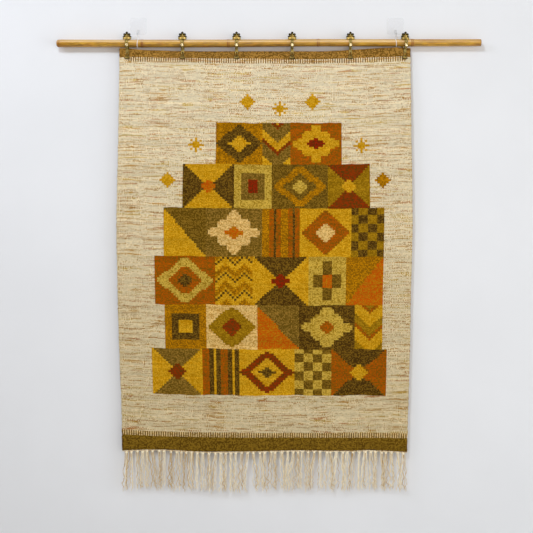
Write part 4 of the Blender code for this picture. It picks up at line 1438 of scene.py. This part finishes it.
def thread_loop(x):
    """A taut closed loop: across the hook's seat, down the front of the rod, under it and up behind it.

    In front it leaves the hook on the side of the hanging's middle.
    """
    seat = HOOK_SEAT + HOOK_HALF_THICKNESS + CLEARANCE + THREAD_RADIUS
    beside = HOOK_HALF_WIDTH + CLEARANCE + THREAD_RADIUS
    round_rod = rod_radius(x) + CLEARANCE + THREAD_RADIUS
    rise = rod_rise(x)
    meets_rod = math.asin(round_rod / (seat - rise))
    side = math.copysign(beside, -x)
    front = [
        Vector((side * 0.75, 0.0, seat - 0.0004)),
        Vector((side, -0.0006, seat - 0.0022)),
        Vector((side, -0.0030, seat - 0.0062)),
    ]
    for k in range(8):
        share = k / 8
        turn = meets_rod + (math.pi - meets_rod) * share
        across = side * 0.8 * (1 - share) ** 3
        front.append(Vector((across, -round_rod * math.sin(turn), rise + round_rod * math.cos(turn))))
    back = [Vector((-point.x, -point.y, point.z)) for point in reversed(front)]
    top, under = Vector((0.0, 0.0, seat)), Vector((0.0, 0.0, rise - round_rod))
    return [point + Vector((x, -ROD_OFFSET, 0.0)) for point in [top, *front, under, *back]]


def build_thread(name, x, material):
    """Two plies laid round each other along the loop, tied with a small knot behind the hook."""
    shape = Shape()
    path = smooth_path(thread_loop(x), 12, closed=True)
    steps = frames(path, closed=True)
    length = sum((b - a).length for a, b in zip(path, path[1:]))
    windings = round(length / THREAD_LAY)
    for ply in (0, 1):
        wound = []
        for i, (point, side, up) in enumerate(steps):
            turn = 2 * math.pi * (windings * i / len(steps) + ply / 2)
            wound.append(point + (side * math.cos(turn) + up * math.sin(turn)) * THREAD_RADIUS * 0.48)
        tube(shape, wound, THREAD_RADIUS * 0.56, 6, closed=True)
    overhand(shape, path[-14] + Vector((0, 0.0008, 0)), 0.0013, 0.0006, 0.5, 0.4)
    return shape.piece(name, material)


# Putting it together

# Lights. lit says what each one reaches: all, only matt light or only gloss
Light = namedtuple("Light", "name place aim size power colour lit")
LIGHTS = [Light(*row) for row in (
    ("key", (-0.9, -3.0, 1.42), (-0.1, 0.0, -0.1), (0.5, 0.5), 40.4, (0.80, 0.915, 1.0), "matt"),
    ("front", (0.4, -2.6, -0.35), (0.0, 0.0, 0.1), (2.6, 0.8), 15.9, (1.0, 0.86, 0.79), "all"),
    ("right", (2.9, -1.6, -0.9), (0.4, 0.0, -1.0), (2.0, 2.0), 30.0, (0.86, 0.93, 1.0), "all"),
    ("left", (-2.4, -1.8, 1.0), (-0.3, 0.0, 0.1), (1.2, 0.8), 19.8, (0.87, 0.87, 1.0), "all"),
    ("glint", (0.0, -2.38, 2.14), (0.0, -0.02, 0.0), (3.0, 0.5), 39.0, (1.0, 0.95, 0.92), "gloss"),
    ("sheen", (0.0, -1.87, 1.81), (0.0, -0.02, 0.0), (3.2, 2.4), 21.0, (1.0, 0.95, 0.90), "gloss"),
)]
ROOM_COLOUR = (1.0, 0.96, 0.85, 1.0)
ROOM_STRENGTH = 0.310


def declare(piece, slot, *nodes):
    """A piece rides on the one body and stands for its CAD nodes, which it hides. slot is not used."""
    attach(piece, "root")
    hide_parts(*nodes)


def plane(name, corners, material):
    mesh = bpy.data.meshes.new(name)
    mesh.from_pydata(corners, [], [(0, 1, 2, 3)])
    mesh.materials.append(material)
    add_object(name, mesh)


def stage_material(name, colour):
    """Matt paint with a slight unevenness, clear from behind."""
    g = Graph(name, roughness=0.9)
    mottle = g.noise(g.place(), (3.0, 3.0, 3.0), detail=3.0)
    lighter = tuple(min(c + 3, 255) for c in colour)
    g.set("Base Color", g.blend(g.spread(mottle), colour, lighter))
    g.set("Specular IOR Level", 0.1)
    paint = Value(g, g.shader.outputs[0])
    behind = g.node("NewGeometry", output="Backfacing")
    chosen = g.node("MixShader", {0: behind, 1: paint, 2: g.node("BsdfTransparent")})
    g.put(g.nodes["Material Output"].inputs["Surface"], chosen)
    return g.material


def area_light(light):
    data = bpy.data.lights.new(light.name, "AREA")
    data.shape = "RECTANGLE"
    data.size, data.size_y = light.size
    data.energy = light.power
    data.color = light.colour
    obj = add_object(light.name, data)
    obj.visible_camera = False
    obj.visible_diffuse = light.lit != "gloss"
    obj.visible_glossy = light.lit != "matt"
    obj.location = light.place
    obj.rotation_euler = (Vector(light.aim) - Vector(light.place)).to_track_quat("-Z", "Y").to_euler()


def build_stage():
    wall = stage_material("wall_paint", (240, 241, 244))
    floor = stage_material("pale_floor", (206, 204, 200))
    reach, floor_z, top = 3.2, -2.1, 2.4
    wall_y, front_y = 0.0005, -4.0
    foot = [(-reach, wall_y, floor_z), (reach, wall_y, floor_z)]
    plane("wall", foot + [(reach, wall_y, top), (-reach, wall_y, top)], wall)
    plane("floor", [(-reach, front_y, floor_z), (reach, front_y, floor_z)] + foot[::-1], floor)
    for light in LIGHTS:
        area_light(light)
    world = bpy.data.worlds.new("room")
    world.use_nodes = True
    backdrop = world.node_tree.nodes["Background"]
    backdrop.inputs["Color"].default_value = ROOM_COLOUR
    backdrop.inputs["Strength"].default_value = ROOM_STRENGTH
    bpy.context.scene.world = world


def build_camera():
    cloth_y = -ROD_OFFSET - HEM_RADIUS
    camera = bpy.data.cameras.new("camera")
    camera.sensor_width = SENSOR
    camera.lens = SENSOR * VIEW_DISTANCE / VIEW_WIDTH
    obj = add_object("camera", camera)
    obj.location = (VIEW_X, cloth_y - VIEW_DISTANCE, VIEW_Z)
    obj.rotation_euler = (math.radians(90), 0.0, 0.0)
    bpy.context.scene.camera = obj


def main():
    bpy.context.scene.view_settings.view_transform = "Standard"
    build_camera()
    build_stage()
    cloth, bottom = build_cloth(wool_material())
    declare(cloth, "wool", "cloth")
    fringe = build_fringe(bottom, strand_material())
    declare(fringe, "warp_fringe", "fringe")
    declare(build_rod(cane_material()), "cane", "rod")
    clips = build_clips()
    clear, thread = clear_material(), thread_material()
    for side, x in zip(("left", "right"), HANG_X):
        declare(build_hook(f"wall_hook_{side}", x, clear), "clear_plastic", f"hook_{side}")
        declare(build_thread(f"thread_loop_{side}", x, thread), "thread", f"thread_{side}")

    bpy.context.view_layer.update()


main()
